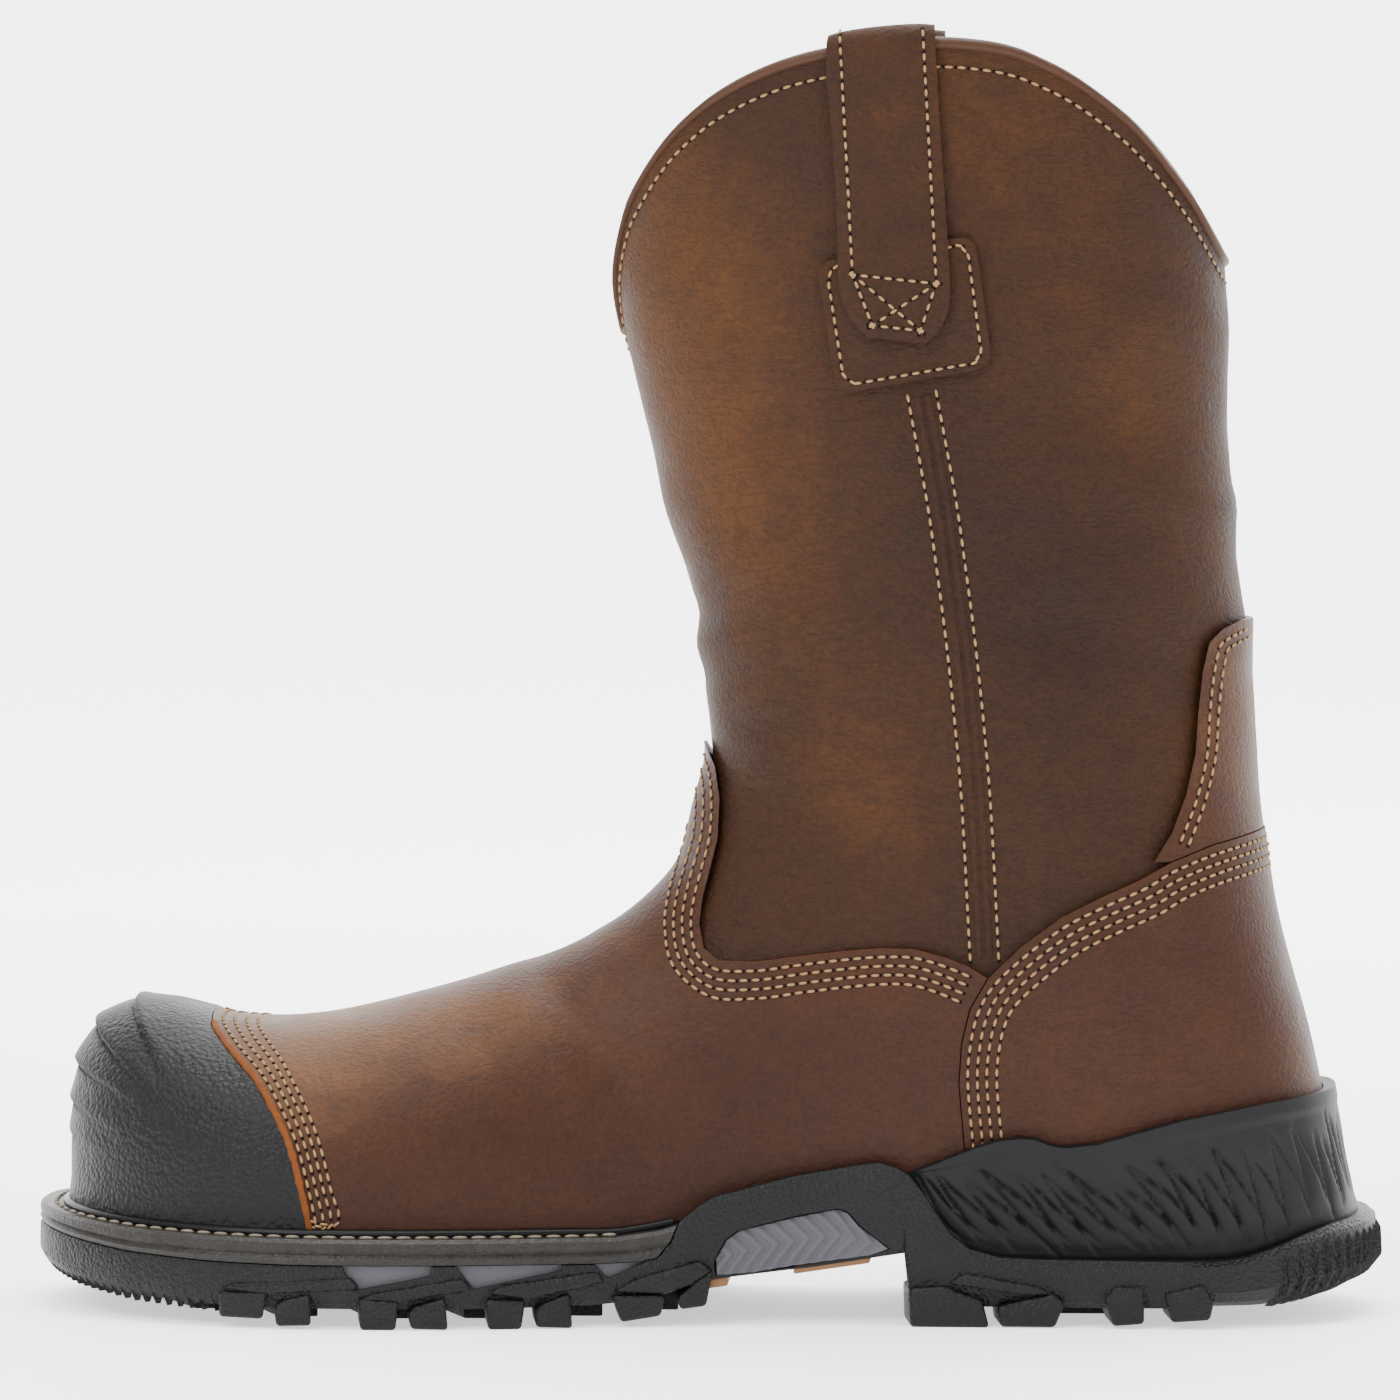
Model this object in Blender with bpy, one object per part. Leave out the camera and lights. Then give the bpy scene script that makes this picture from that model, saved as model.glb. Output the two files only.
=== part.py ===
"""Pull-on work boot, left foot: upper, overlays, straps and welted rubber sole.

Metres, +Z up, toe towards -X, outer side of the foot towards -Y. The origin is on the
floor under the heel, at the centre of the heel's middle lug.
"""

import math

import bmesh
import bpy
import numpy as np

# Driving sizes of the sole
SOLE_LENGTH = 0.316
HEEL_OVERHANG = 0.0712
BALL_WIDTH = 0.116
SEAT_HEIGHT = 0.035
TOE_ROUND = 0.066
HEEL_ROUND = 0.046
LUG_DEPTH = 0.0045
LUG_REACH = 0.016
RIB_PROUD = 0.0013
RIB_ROOT = 0.0012
SOLE_BEVEL = 0.0022
KICK_UNDERCUT = 0.008
WINDOW_WALL = 0.0016
SHANK_WALL = 0.0032
HEEL_CORE_INSET = 0.0125

# Driving sizes of the upper
BOOT_HEIGHT = 0.298
SHAFT_WIDTH = 0.092
WELT_LEDGE = 0.008
WELT_WIDTH = 0.016
UPPER_WALL = 0.0022
VAMP_THICK = 0.0016
CAP_THICK = 0.0021
COUNTER_THICK = 0.0019
BACKSTAY_THICK = 0.0016
PATCH_THICK = 0.0016
CUP_THICK = 0.0025
INSOLE_THICK = 0.004
BINDING_RADIUS = 0.0014
STRAP_THICK = 0.0020
STRAP_WIDTH = 0.0246
STRAP_INSIDE = 0.050
GAP = 0.0003

# Tread
TOE_TEETH = 13
KICK_RIBS = 9
TOOTH_WIDTH = 0.0022
TOOTH_PROUD = 0.0010

# Smoothness
STATION_STEP = 0.0075
END_STEPS = 8
ROUND_STEPS = 13
FOOT_ROWS = 20
SHAFT_ROWS = 8
NECK_ROW = 16.0
TOE_POWER = 2.4
FLAT_ANGLE = math.radians(0.6)
HEEL_POWER = 2.2

HEEL_X = HEEL_OVERHANG
UPPER_INSET = WELT_LEDGE + VAMP_THICK + GAP
BESIDE = 0.09

# Plan of the sole. along runs from the heel's back (0) to the toe's tip (1) as a share of
# SOLE_LENGTH; centre (inwards is +) and half are shares of BALL_WIDTH.
PLAN = (
    # along, centre, half
    (0.00, 0.000, 0.375),
    (0.12, 0.000, 0.379),
    (0.24, 0.000, 0.366),
    (0.36, -0.012, 0.348),
    (0.46, -0.014, 0.352),
    (0.56, -0.002, 0.400),
    (0.66, 0.010, 0.462),
    (0.74, 0.020, 0.490),
    (0.82, 0.034, 0.485),
    (0.90, 0.048, 0.460),
    (1.00, 0.066, 0.430),
)

# Side view of the sole, heights as shares of SEAT_HEIGHT. spring lifts the tread, floor is the
# bottom of the outsole's hollow, wall its top edge, seat the edge on which the upper stands.
SPRING = (
    # along, rise
    (0.000, 0.090),
    (0.035, 0.045),
    (0.090, 0.000),
    (0.344, 0.000),
    (0.348, 0.352),
    (0.415, 0.257),
    (0.4785, 0.186),
    (0.505, 0.150),
    (0.528, 0.057),
    (0.573, 0.014),
    (0.640, 0.000),
    (0.795, 0.000),
    (0.858, 0.012),
    (0.9215, 0.045),
    (0.969, 0.105),
    (1.000, 0.180),
)
FLOOR = (
    (0.000, 0.345),
    (0.295, 0.345),
    (0.330, 0.490),
    (0.360, 0.560),
    (0.415, 0.490),
    (0.4785, 0.414),
    (0.510, 0.357),
    (0.535, 0.286),
    (0.573, 0.250),
    (0.795, 0.246),
    (0.858, 0.258),
    (0.9215, 0.290),
    (0.969, 0.345),
    (1.000, 0.414),
)
WALL = (
    (0.000, 0.690),
    (0.035, 0.655),
    (0.056, 0.595),
    (0.077, 0.520),
    (0.0987, 0.460),
    (0.1187, 0.440),
    (0.250, 0.449),
    (0.278, 0.460),
    (0.300, 0.514),
    (0.314, 0.611),
    (0.324, 0.743),
    (0.3345, 0.886),
    (0.3446, 1.003),
    (0.3535, 1.049),
    (0.366, 1.083),
    (0.380, 1.069),
    (0.428, 0.991),
    (0.487, 0.854),
    (0.500, 0.780),
    (0.512, 0.689),
    (0.518, 0.557),
    (0.528, 0.450),
    (0.540, 0.425),
    (0.573, 0.414),
    (0.795, 0.414),
    (0.858, 0.426),
    (0.9215, 0.457),
    (0.969, 0.509),
    (1.000, 0.557),
)
SEAT = (
    (0.000, 1.000),
    (0.290, 1.000),
    (0.352, 0.966),
    (0.415, 0.886),
    (0.4785, 0.771),
    (0.526, 0.643),
    (0.560, 0.600),
    (0.795, 0.600),
    (0.858, 0.609),
    (0.9215, 0.629),
    (0.969, 0.663),
    (1.000, 0.697),
)

# Sections of the last, toe first. Each is a plane through a front and a back point of the side
# view: along is a share of SOLE_LENGTH, rise of BOOT_HEIGHT. middle is where the section is
# widest, width a share of SHAFT_WIDTH, hold how far it follows the sole's plan instead, and
# crown and heel_round say how square its front and back halves are.
SECTIONS = (
    # front along, front rise, back along, back rise, middle, width, hold, crown, heel_round
    (0.967, 0.158, 0.967, -0.084, 0.24, 0.80, 1.00, 2.6, 3.0),
    (0.959, 0.200, 0.961, -0.084, 0.35, 0.80, 1.00, 2.6, 3.0),
    (0.937, 0.226, 0.940, -0.084, 0.40, 0.80, 1.00, 2.6, 3.0),
    (0.903, 0.232, 0.906, -0.084, 0.41, 0.80, 1.00, 2.5, 3.0),
    (0.846, 0.220, 0.849, -0.084, 0.39, 0.80, 1.00, 2.35, 3.0),
    (0.782, 0.223, 0.782, -0.084, 0.40, 0.80, 1.00, 2.2, 3.0),
    (0.706, 0.242, 0.700, -0.084, 0.43, 0.80, 1.00, 2.1, 3.0),
    (0.637, 0.265, 0.611, -0.084, 0.47, 0.81, 1.00, 2.0, 3.0),
    (0.588, 0.285, 0.517, -0.075, 0.47, 0.815, 0.85, 1.95, 2.8),
    (0.545, 0.316, 0.409, -0.060, 0.48, 0.815, 0.50, 1.92, 2.3),
    (0.515, 0.352, 0.295, -0.040, 0.48, 0.812, 0.22, 1.92, 2.1),
    (0.505, 0.393, 0.168, -0.040, 0.48, 0.832, 0.06, 1.97, 2.2),
    (0.497, 0.440, 0.067, -0.020, 0.48, 0.862, 0.00, 2.02, 2.4),
    (0.501, 0.490, 0.031, 0.045, 0.48, 0.890, 0.00, 2.05, 2.5),
    (0.506, 0.537, 0.040, 0.128, 0.48, 0.908, 0.00, 2.05, 2.5),
    (0.517, 0.587, 0.058, 0.222, 0.49, 0.920, 0.00, 2.05, 2.45),
    (0.532, 0.637, 0.080, 0.309, 0.50, 0.930, 0.00, 2.05, 2.35),
    (0.542, 0.688, 0.094, 0.403, 0.50, 0.941, 0.00, 2.05, 2.25),
    (0.552, 0.735, 0.099, 0.497, 0.50, 0.954, 0.00, 2.05, 2.15),
    (0.561, 0.775, 0.106, 0.597, 0.50, 0.967, 0.00, 2.05, 2.10),
    (0.572, 0.826, 0.112, 0.695, 0.50, 0.978, 0.00, 2.05, 2.08),
    (0.573, 0.893, 0.114, 0.805, 0.50, 0.989, 0.00, 2.05, 2.05),
    (0.570, 0.973, 0.116, 0.926, 0.50, 1.000, 0.00, 2.05, 2.05),
    (0.566, 1.067, 0.119, 1.067, 0.50, 1.004, 0.00, 2.05, 2.05),
)

# Collar edge round the shaft: turn runs from the front (0) to the back (1), rise is a share of
# BOOT_HEIGHT.
COLLAR = (
    # turn, rise
    (0.00, 0.778),
    (0.06, 0.815),
    (0.14, 0.880),
    (0.25, 0.943),
    (0.35, 0.980),
    (0.45, 0.997),
    (0.55, 1.000),
    (0.63, 0.986),
    (0.74, 0.941),
    (0.84, 0.885),
    (0.93, 0.843),
    (1.00, 0.832),
)

# Edges of the overlays in the side view: along is a share of SOLE_LENGTH, rise of BOOT_HEIGHT
CAP_EDGE = (
    (0.874, 0.300),
    (0.872, 0.232),
    (0.863, 0.214),
    (0.846, 0.196),
    (0.825, 0.183),
    (0.799, 0.135),
    (0.787, 0.092),
    (0.783, 0.040),
)
VAMP_TOP = (
    (0.560, 0.448),
    (0.500, 0.446),
    (0.491, 0.428),
    (0.487, 0.405),
    (0.488, 0.374),
    (0.494, 0.348),
    (0.499, 0.327),
    (0.501, 0.307),
    (0.497, 0.289),
    (0.486, 0.280),
    (0.458, 0.280),
    (0.428, 0.285),
    (0.395, 0.290),
    (0.367, 0.293),
    (0.341, 0.293),
    (0.318, 0.287),
    (0.301, 0.280),
)
COUNTER_FRONT = (
    (0.287, 0.271),
    (0.300, 0.247),
    (0.306, 0.220),
    (0.308, 0.189),
    (0.304, 0.139),
    (0.302, 0.090),
)
COUNTER_TOP = (
    (0.060, 0.383),
    (0.088, 0.380),
    (0.123, 0.372),
    (0.154, 0.360),
    (0.174, 0.348),
    (0.204, 0.334),
    (0.234, 0.318),
    (0.262, 0.296),
    (0.287, 0.271),
)
BACKSTAY_EDGE = (
    (0.040, 0.545),
    (0.103, 0.545),
    (0.116, 0.539),
    (0.126, 0.529),
    (0.131, 0.505),
    (0.134, 0.475),
    (0.136, 0.443),
    (0.143, 0.411),
    (0.153, 0.383),
    (0.166, 0.361),
)
CUP_TOP = (
    (0.3446, 0.1201),
    (0.3290, 0.1272),
    (0.3110, 0.1349),
    (0.2950, 0.1416),
    (0.2780, 0.1473),
    (0.2620, 0.1493),
    (0.2510, 0.1487),
    (0.2400, 0.1440),
    (0.2290, 0.1426),
    (0.2070, 0.1450),
    (0.1890, 0.1503),
    (0.1470, 0.1628),
    (0.0920, 0.1710),
    (0.0450, 0.1745),
    (0.0000, 0.1730),
)
PATCH_CORNERS = (
    (0.412, 0.825),
    (0.297, 0.846),
    (0.284, 0.744),
    (0.397, 0.723),
)

# Windows in the outsole's side, as four corners: along, and rise as a share of SEAT_HEIGHT
WINDOWS = (
    ((0.763, 0.50), (0.689, 0.50), (0.693, 0.350), (0.747, 0.258)),
    ((0.681, 0.50), (0.597, 0.50), (0.597, 0.380), (0.661, 0.263)),
    ((0.583, 0.50), (0.534, 0.52), (0.529, 0.455), (0.564, 0.325)),
)
ARCH_WINDOW = (
    (0.486, 0.330),
    (0.487, 0.435),
    (0.479, 0.570),
    (0.470, 0.630),
    (0.429, 0.728),
    (0.396, 0.780),
    (0.388, 0.754),
    (0.380, 0.670),
    (0.358, 0.510),
    (0.372, 0.465),
    (0.429, 0.385),
    (0.460, 0.345),
)

# Lugs along both sides: start and end along, lift of the foot above the ground as a share of
# LUG_DEPTH, top of the rib up the side as a share of SEAT_HEIGHT at the start and at the end
SIDE_LUGS = (
    # start, end, lift, start rib, end rib
    (0.862, 0.833, 0.35, 0.270, 0.280),
    (0.817, 0.793, 0.15, 0.300, 0.330),
    (0.757, 0.734, 0.00, 0.200, 0.240),
    (0.720, 0.693, 0.00, 0.290, 0.340),
    (0.662, 0.637, 0.00, 0.210, 0.250),
    (0.629, 0.603, 0.00, 0.290, 0.350),
    (0.566, 0.538, 0.25, 0.270, 0.330),
    (0.526, 0.501, 0.90, 0.370, 0.400),
    (0.344, 0.295, 0.00, 0.260, 0.300),
    (0.280, 0.236, 0.00, 0.300, 0.300),
    (0.199, 0.172, 0.00, 0.290, 0.290),
    (0.156, 0.127, 0.00, 0.295, 0.295),
    (0.096, 0.062, 0.00, 0.280, 0.280),
)
# Lugs under the forefoot, in pairs that form chevrons: along, and length as a share of
# BALL_WIDTH
MIDDLE_LUGS = (
    # along, length
    (0.880, 0.075),
    (0.815, 0.085),
    (0.745, 0.090),
    (0.675, 0.090),
    (0.605, 0.085),
    (0.545, 0.060),
)
CHEVRON_SKEW = 0.05
HEEL_PAD_LENGTH = 0.030
HEEL_PAD_WIDTH = 0.030

COLOURS = {
    # name: red, green, blue, roughness
    "brown_leather": (0.127, 0.062, 0.036, 0.62),
    "dark_leather": (0.095, 0.045, 0.026, 0.62),
    "black_rubber": (0.030, 0.030, 0.031, 0.60),
    "grey_foam": (0.222, 0.222, 0.250, 0.55),
    "welt_rubber": (0.060, 0.054, 0.048, 0.50),
    "lining": (0.500, 0.270, 0.155, 0.85),
}


def along_to_x(along):
    """X of a place along the sole."""
    return HEEL_X - along * SOLE_LENGTH


def x_to_along(x):
    """Share of the sole's length at an X."""
    return (HEEL_X - x) / SOLE_LENGTH


def smooth_row(table, place):
    """Row of a table at a fractional index, on a Catmull-Rom curve through its rows."""
    last = len(table) - 1
    place = min(max(place, 0.0), float(last))
    index = min(int(place), last - 1)
    t = place - index
    rows = [np.asarray(table[min(max(index + k, 0), last)], dtype=float) for k in (-1, 0, 1, 2)]
    a, b, c, d = rows
    return 0.5 * (2 * b + (c - a) * t + (2 * a - 5 * b + 4 * c - d) * t ** 2
                  + (3 * b - a - 3 * c + d) * t ** 3)


def smooth_value(table, key):
    """Columns after the first, at a value of the first column."""
    keys = [row[0] for row in table]
    key = min(max(key, keys[0]), keys[-1])
    index = max(i for i in range(len(keys) - 1) if keys[i] <= key)
    t = (key - keys[index]) / (keys[index + 1] - keys[index])
    return smooth_row(table, index + t)[1:]


def height(table, x):
    """Height of a side-view line of the sole at an X."""
    rows = np.asarray(table)
    return float(np.interp(x_to_along(x), rows[:, 0], rows[:, 1])) * SEAT_HEIGHT


def end_round(distance, radius, power):
    """Share of the full half width at a distance from the rounded end."""
    if distance >= radius:
        return 1.0
    if distance <= 0:
        return 0.0
    return (1 - (1 - distance / radius) ** power) ** (1 / power)


def plan(x, inset=0.0):
    """Outer and inner reach in Y of the sole's outline, drawn in by an inset."""
    centre, half = smooth_value(PLAN, x_to_along(x)) * BALL_WIDTH
    toe_x = along_to_x(1.0)
    ends = end_round(x - toe_x - inset, TOE_ROUND - inset, TOE_POWER)
    ends *= end_round(HEEL_X - inset - x, HEEL_ROUND - inset, HEEL_POWER)
    half = (half - inset) * ends
    return centre - half, centre + half


def stations():
    """Shares along the middle of the sole, denser where a side-view line turns."""
    low = HEEL_ROUND / SOLE_LENGTH
    high = 1 - TOE_ROUND / SOLE_LENGTH
    turns = {row[0] for table in (SPRING, FLOOR, WALL, SEAT) for row in table}
    marks = [high] + sorted((t for t in turns if low < t < high), reverse=True) + [low]
    found = [marks[0]]
    for start, end in zip(marks, marks[1:]):
        count = max(1, round((start - end) * SOLE_LENGTH / STATION_STEP))
        found += [start + (end - start) * (i + 1) / count for i in range(count)]
    return found


def outline(inset):
    """Outer and inner outline points from toe to heel, with the ends shared by both."""
    if not callable(inset):
        fixed = inset
        inset = lambda along: fixed
    places = []
    toe_inset = inset(1.0)
    heel_inset = inset(0.0)
    for step in range(END_STEPS):
        turn = 0.5 * math.pi * step / END_STEPS
        places.append((along_to_x(1.0) + toe_inset
                       + (TOE_ROUND - toe_inset) * (1 - math.cos(turn)), toe_inset))
    places += [(along_to_x(along), inset(along)) for along in stations()]
    for step in reversed(range(END_STEPS)):
        turn = 0.5 * math.pi * step / END_STEPS
        places.append((HEEL_X - heel_inset
                       - (HEEL_ROUND - heel_inset) * (1 - math.cos(turn)), heel_inset))
    outer = [(x, plan(x, drawn)[0]) for x, drawn in places]
    inner = [(x, plan(x, drawn)[1]) for x, drawn in places]
    return outer, inner


def new_object(name, points, faces):
    """Mesh object from points and faces, its faces turned outwards."""
    mesh = bpy.data.meshes.new(name)
    mesh.from_pydata([tuple(p) for p in points], [], faces)
    shape = bmesh.new()
    shape.from_mesh(mesh)
    bmesh.ops.remove_doubles(shape, verts=shape.verts, dist=1e-6)
    bmesh.ops.recalc_face_normals(shape, faces=shape.faces)
    shape.to_mesh(mesh)
    shape.free()
    made = bpy.data.objects.new(name, mesh)
    bpy.context.scene.collection.objects.link(made)
    return made


def slab(name, levels):
    """Solid between outlines of the sole: each level is an inset and a height over X."""
    points = []
    rings = []
    for inset, rise in levels:
        outer, inner = outline(inset)
        ring = outer + inner[-2:0:-1]
        rings.append(range(len(points), len(points) + len(ring)))
        points += [(x, y, rise(x)) for x, y in ring]
    faces = []
    size = len(rings[0])
    side = size // 2
    for below, above in zip(rings, rings[1:]):
        for i in range(size):
            j = (i + 1) % size
            faces.append((below[i], below[j], above[j], above[i]))
    for ring, turned in ((rings[0], True), (rings[-1], False)):
        for i in range(side):
            near = (ring[i], ring[i + 1])
            far = (ring[(size - i - 1) % size], ring[(size - i) % size])
            cap = [near[0], near[1], far[0], far[1]]
            cap = list(dict.fromkeys(cap))
            faces.append(tuple(reversed(cap)) if turned else tuple(cap))
    return new_object(name, points, faces)


def prism(name, corners, near=-BESIDE, far=BESIDE):
    """Side-view polygon carried through in Y."""
    count = len(corners)
    points = [(x, near, z) for x, z in corners] + [(x, far, z) for x, z in corners]
    faces = [tuple(range(count)), tuple(range(2 * count - 1, count - 1, -1))]
    faces += [(i, i + count, (i + 1) % count + count, (i + 1) % count) for i in range(count)]
    return new_object(name, points, faces)


def block(name, foot, top):
    """Six-sided solid between two four-cornered faces."""
    faces = [(0, 1, 2, 3), (7, 6, 5, 4)]
    faces += [(i, i + 4, (i + 1) % 4 + 4, (i + 1) % 4) for i in range(4)]
    return new_object(name, list(foot) + list(top), faces)


def combine(target, tool, operation):
    """Join, cut or intersect one object with another, which is used up."""
    change = target.modifiers.new(operation.lower(), "BOOLEAN")
    change.object = tool
    change.operation = operation
    change.solver = "EXACT"
    bpy.context.view_layer.update()
    graph = bpy.context.evaluated_depsgraph_get()
    result = bpy.data.meshes.new_from_object(target.evaluated_get(graph))
    target.modifiers.clear()
    target.data = result
    bpy.data.objects.remove(tool)
    return target


def join_parts(target, tools):
    """Union of an object with many small ones, which don't touch each other."""
    shape = bmesh.new()
    for tool in tools:
        shape.from_mesh(tool.data)
        bpy.data.objects.remove(tool)
    mesh = bpy.data.meshes.new("parts")
    shape.to_mesh(mesh)
    shape.free()
    parts = bpy.data.objects.new("parts", mesh)
    bpy.context.scene.collection.objects.link(parts)
    return combine(target, parts, "UNION")


def section_point(place, turn, side):
    """Point of the last at a fractional section, turned from its front (0) to its back (1)."""
    (front_along, front_rise, back_along, back_rise, middle, width, hold, crown,
     heel_round) = smooth_row(SECTIONS, place)
    front = np.array([along_to_x(front_along), front_rise * BOOT_HEIGHT])
    back = np.array([along_to_x(back_along), back_rise * BOOT_HEIGHT])
    centre = front + (back - front) * middle
    angle = math.pi * turn
    lean = math.cos(angle)
    spread = abs(math.sin(angle))
    power = crown if lean > 0 else heel_round
    tip = front if lean > 0 else back
    spot = centre + (tip - centre) * abs(lean) ** (2 / power)
    reach = spread ** (2 / power)
    outer, inner = plan(centre[0], UPPER_INSET)
    half = hold * (inner - outer) / 2 + (1 - hold) * width * SHAFT_WIDTH / 2
    return np.array([spot[0], hold * (outer + inner) / 2 + side * half * reach, spot[1]])


def collar_place(turn):
    """Fractional section at which the last reaches the collar's edge."""
    binding = 2 * BINDING_RADIUS + GAP
    goal = float(smooth_value(COLLAR, turn)[0]) * BOOT_HEIGHT - binding
    low, high = NECK_ROW, len(SECTIONS) - 1.0
    for _ in range(30):
        middle = (low + high) / 2
        if section_point(middle, turn, 1)[2] < goal:
            low = middle
        else:
            high = middle
    return low


def make_last():
    """Grid of points of the last and their outward directions, toe first."""
    turns = [(i / ROUND_STEPS, -1) for i in range(ROUND_STEPS + 1)]
    turns += [(i / ROUND_STEPS, 1) for i in range(ROUND_STEPS - 1, 0, -1)]
    foot = [NECK_ROW * i / FOOT_ROWS for i in range(FOOT_ROWS + 1)]
    rows = [[section_point(place, turn, side) for turn, side in turns] for place in foot]
    edge = {turn: collar_place(turn) for turn, _ in turns}
    for i in range(1, SHAFT_ROWS + 1):
        share = i / SHAFT_ROWS
        rows.append([section_point(NECK_ROW + (edge[turn] - NECK_ROW) * share, turn, side)
                     for turn, side in turns])
    grid = np.array(rows)
    down = np.gradient(grid, axis=0)
    across = np.roll(grid, -1, axis=1) - np.roll(grid, 1, axis=1)
    out = np.cross(down, across)
    out /= np.maximum(np.linalg.norm(out, axis=2, keepdims=True), 1e-12)
    away = grid - grid.mean(axis=1, keepdims=True)
    if (out[FOOT_ROWS] * away[FOOT_ROWS]).sum() < 0:
        out = -out
    return grid, out


LAST, LAST_OUT = make_last()


def last_at(offset):
    """Points of the last, moved outwards by an offset."""
    return LAST + LAST_OUT * offset


def form(name, offset):
    """Closed solid of the last at an offset."""
    grid = last_at(offset)
    rows, columns = grid.shape[:2]
    points = list(grid.reshape(-1, 3)) + [grid[-1].mean(axis=0)]
    faces = [tuple(range(columns))]
    for i in range(rows - 1):
        for j in range(columns):
            k = (j + 1) % columns
            faces.append((i * columns + j, i * columns + k,
                          (i + 1) * columns + k, (i + 1) * columns + j))
    base = (rows - 1) * columns
    faces += [(base + j, base + (j + 1) % columns, len(points) - 1) for j in range(columns)]
    return new_object(name, points, faces)


def shell(name, inner_offset, outer_offset):
    """Bottle-shaped wall round the last, open at the collar."""
    grids = [last_at(outer_offset), last_at(inner_offset)]
    rows, columns = grids[0].shape[:2]
    size = rows * columns
    points = list(grids[0].reshape(-1, 3)) + list(grids[1].reshape(-1, 3))
    faces = [tuple(range(columns)), tuple(range(size + columns - 1, size - 1, -1))]
    for i in range(rows - 1):
        for j in range(columns):
            k = (j + 1) % columns
            quad = (i * columns + j, i * columns + k,
                    (i + 1) * columns + k, (i + 1) * columns + j)
            faces.append(quad)
            faces.append(tuple(size + v for v in reversed(quad)))
    rim = (rows - 1) * columns
    for j in range(columns):
        k = (j + 1) % columns
        faces.append((rim + j, rim + k, size + rim + k, size + rim + j))
    return new_object(name, points, faces)


def side_view(rows, rise_unit=BOOT_HEIGHT, shift=(0.0, 0.0)):
    """X and Z of a side-view line given as shares."""
    return [(along_to_x(along) + shift[0], rise * rise_unit + shift[1]) for along, rise in rows]


def seat_line(lift=0.0):
    """Side view of the edge on which the upper stands, toe to heel, run past both ends."""
    line = [(along_to_x(along), rise * SEAT_HEIGHT + lift) for along, rise in reversed(SEAT)]
    return [(line[0][0] - BESIDE, line[0][1])] + line + [(line[-1][0] + BESIDE, line[-1][1])]


def under_seat(lift=0.0):
    """Cutter for all that lies below the seat line."""
    line = seat_line(lift)
    return prism("under_seat", line + [(line[-1][0], -BESIDE), (line[0][0], -BESIDE)])


def wall_line(lift=0.0):
    """Side view of the outsole's top edge from the welt's end to the heel's back."""
    rows = [row for row in reversed(WALL) if row[0] <= WALL_START]
    line = [(along_to_x(along), rise * SEAT_HEIGHT + lift) for along, rise in rows]
    return line + [(line[-1][0] + BESIDE, line[-1][1])]


WALL_START = 0.540
CUP_START = 0.345


def offset_line(line, distance):
    """Side-view line moved sideways, to the left of its direction."""
    pts = np.asarray(line)
    step = np.gradient(pts, axis=0)
    step /= np.linalg.norm(step, axis=1, keepdims=True)
    moved = pts + np.stack([-step[:, 1], step[:, 0]], axis=1) * distance
    return [tuple(p) for p in moved]


def rounded(corners, radius, steps=3):
    """Polygon with its corners cut by arcs."""
    found = []
    pts = [np.array(c) for c in corners]
    for before, here, after in zip(pts[-1:] + pts[:-1], pts, pts[1:] + pts[:1]):
        to_before = (before - here) / np.linalg.norm(before - here)
        to_after = (after - here) / np.linalg.norm(after - here)
        for i in range(steps + 1):
            t = i / steps
            spot = ((1 - t) ** 2 * (here + to_before * radius) + 2 * t * (1 - t) * here
                    + t ** 2 * (here + to_after * radius))
            found.append(tuple(spot))
    return found


def make_upper():
    """Hollow leather wall of shaft and foot, open at the collar and underneath."""
    return combine(shell("upper", -UPPER_WALL, 0.0), under_seat(), "DIFFERENCE")


def overlay(name, thick, corners, near=-BESIDE, far=BESIDE):
    """Piece of leather or rubber that lies on the upper, with a side-view outline."""
    piece = combine(shell(name, GAP, GAP + thick), prism("edge", corners, near, far), "INTERSECT")
    return piece


def make_toe_cap():
    """Rubber cap over the toe."""
    edge = offset_line(side_view(CAP_EDGE), -GAP / 2)
    corners = edge + [(edge[-1][0], -BESIDE), (-3 * BESIDE, -BESIDE), (-3 * BESIDE, BESIDE)]
    piece = overlay("toe_cap", CAP_THICK, corners)
    return combine(piece, under_seat(), "DIFFERENCE")


def make_vamp():
    """Leather over the forefoot and instep, with its tongue up the front of the shaft."""
    cap_edge = offset_line(side_view(CAP_EDGE), GAP / 2)
    front = offset_line(side_view(COUNTER_FRONT), -GAP / 2)
    corners = cap_edge[::-1] + [(cap_edge[0][0], 1.5 * BESIDE)]
    corners += side_view(VAMP_TOP) + front + [(front[-1][0], 0.0), (cap_edge[-1][0], 0.0)]
    piece = overlay("vamp", VAMP_THICK, corners)
    return combine(piece, under_seat(), "DIFFERENCE")


def make_counter():
    """Leather round the heel."""
    front = offset_line(side_view(COUNTER_FRONT), GAP / 2)
    corners = side_view(COUNTER_TOP)[:-1] + front
    corners += [(front[-1][0], 0.0), (HEEL_X, 0.0), (HEEL_X, corners[0][1])]
    piece = overlay("counter", COUNTER_THICK, corners)
    return combine(piece, under_seat(), "DIFFERENCE")


def make_backstay():
    """Leather strip up the back, above the counter."""
    edge = side_view(BACKSTAY_EDGE)
    top = [spot for spot in side_view(COUNTER_TOP) if spot[0] > edge[-1][0]]
    seam = offset_line(top, -GAP)
    corners = edge + seam[::-1] + [(HEEL_X, seam[0][1]), (HEEL_X, edge[0][1])]
    return overlay("backstay", BACKSTAY_THICK, corners)


def make_patches():
    """Patches that hold the outer ends of the straps, one on each side."""
    corners = rounded(side_view(PATCH_CORNERS), PATCH_THICK * 2)
    overlay("strap_patch_outer", PATCH_THICK, corners, -BESIDE, 0.0)
    overlay("strap_patch_inner", PATCH_THICK, corners, 0.0, BESIDE)


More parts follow.
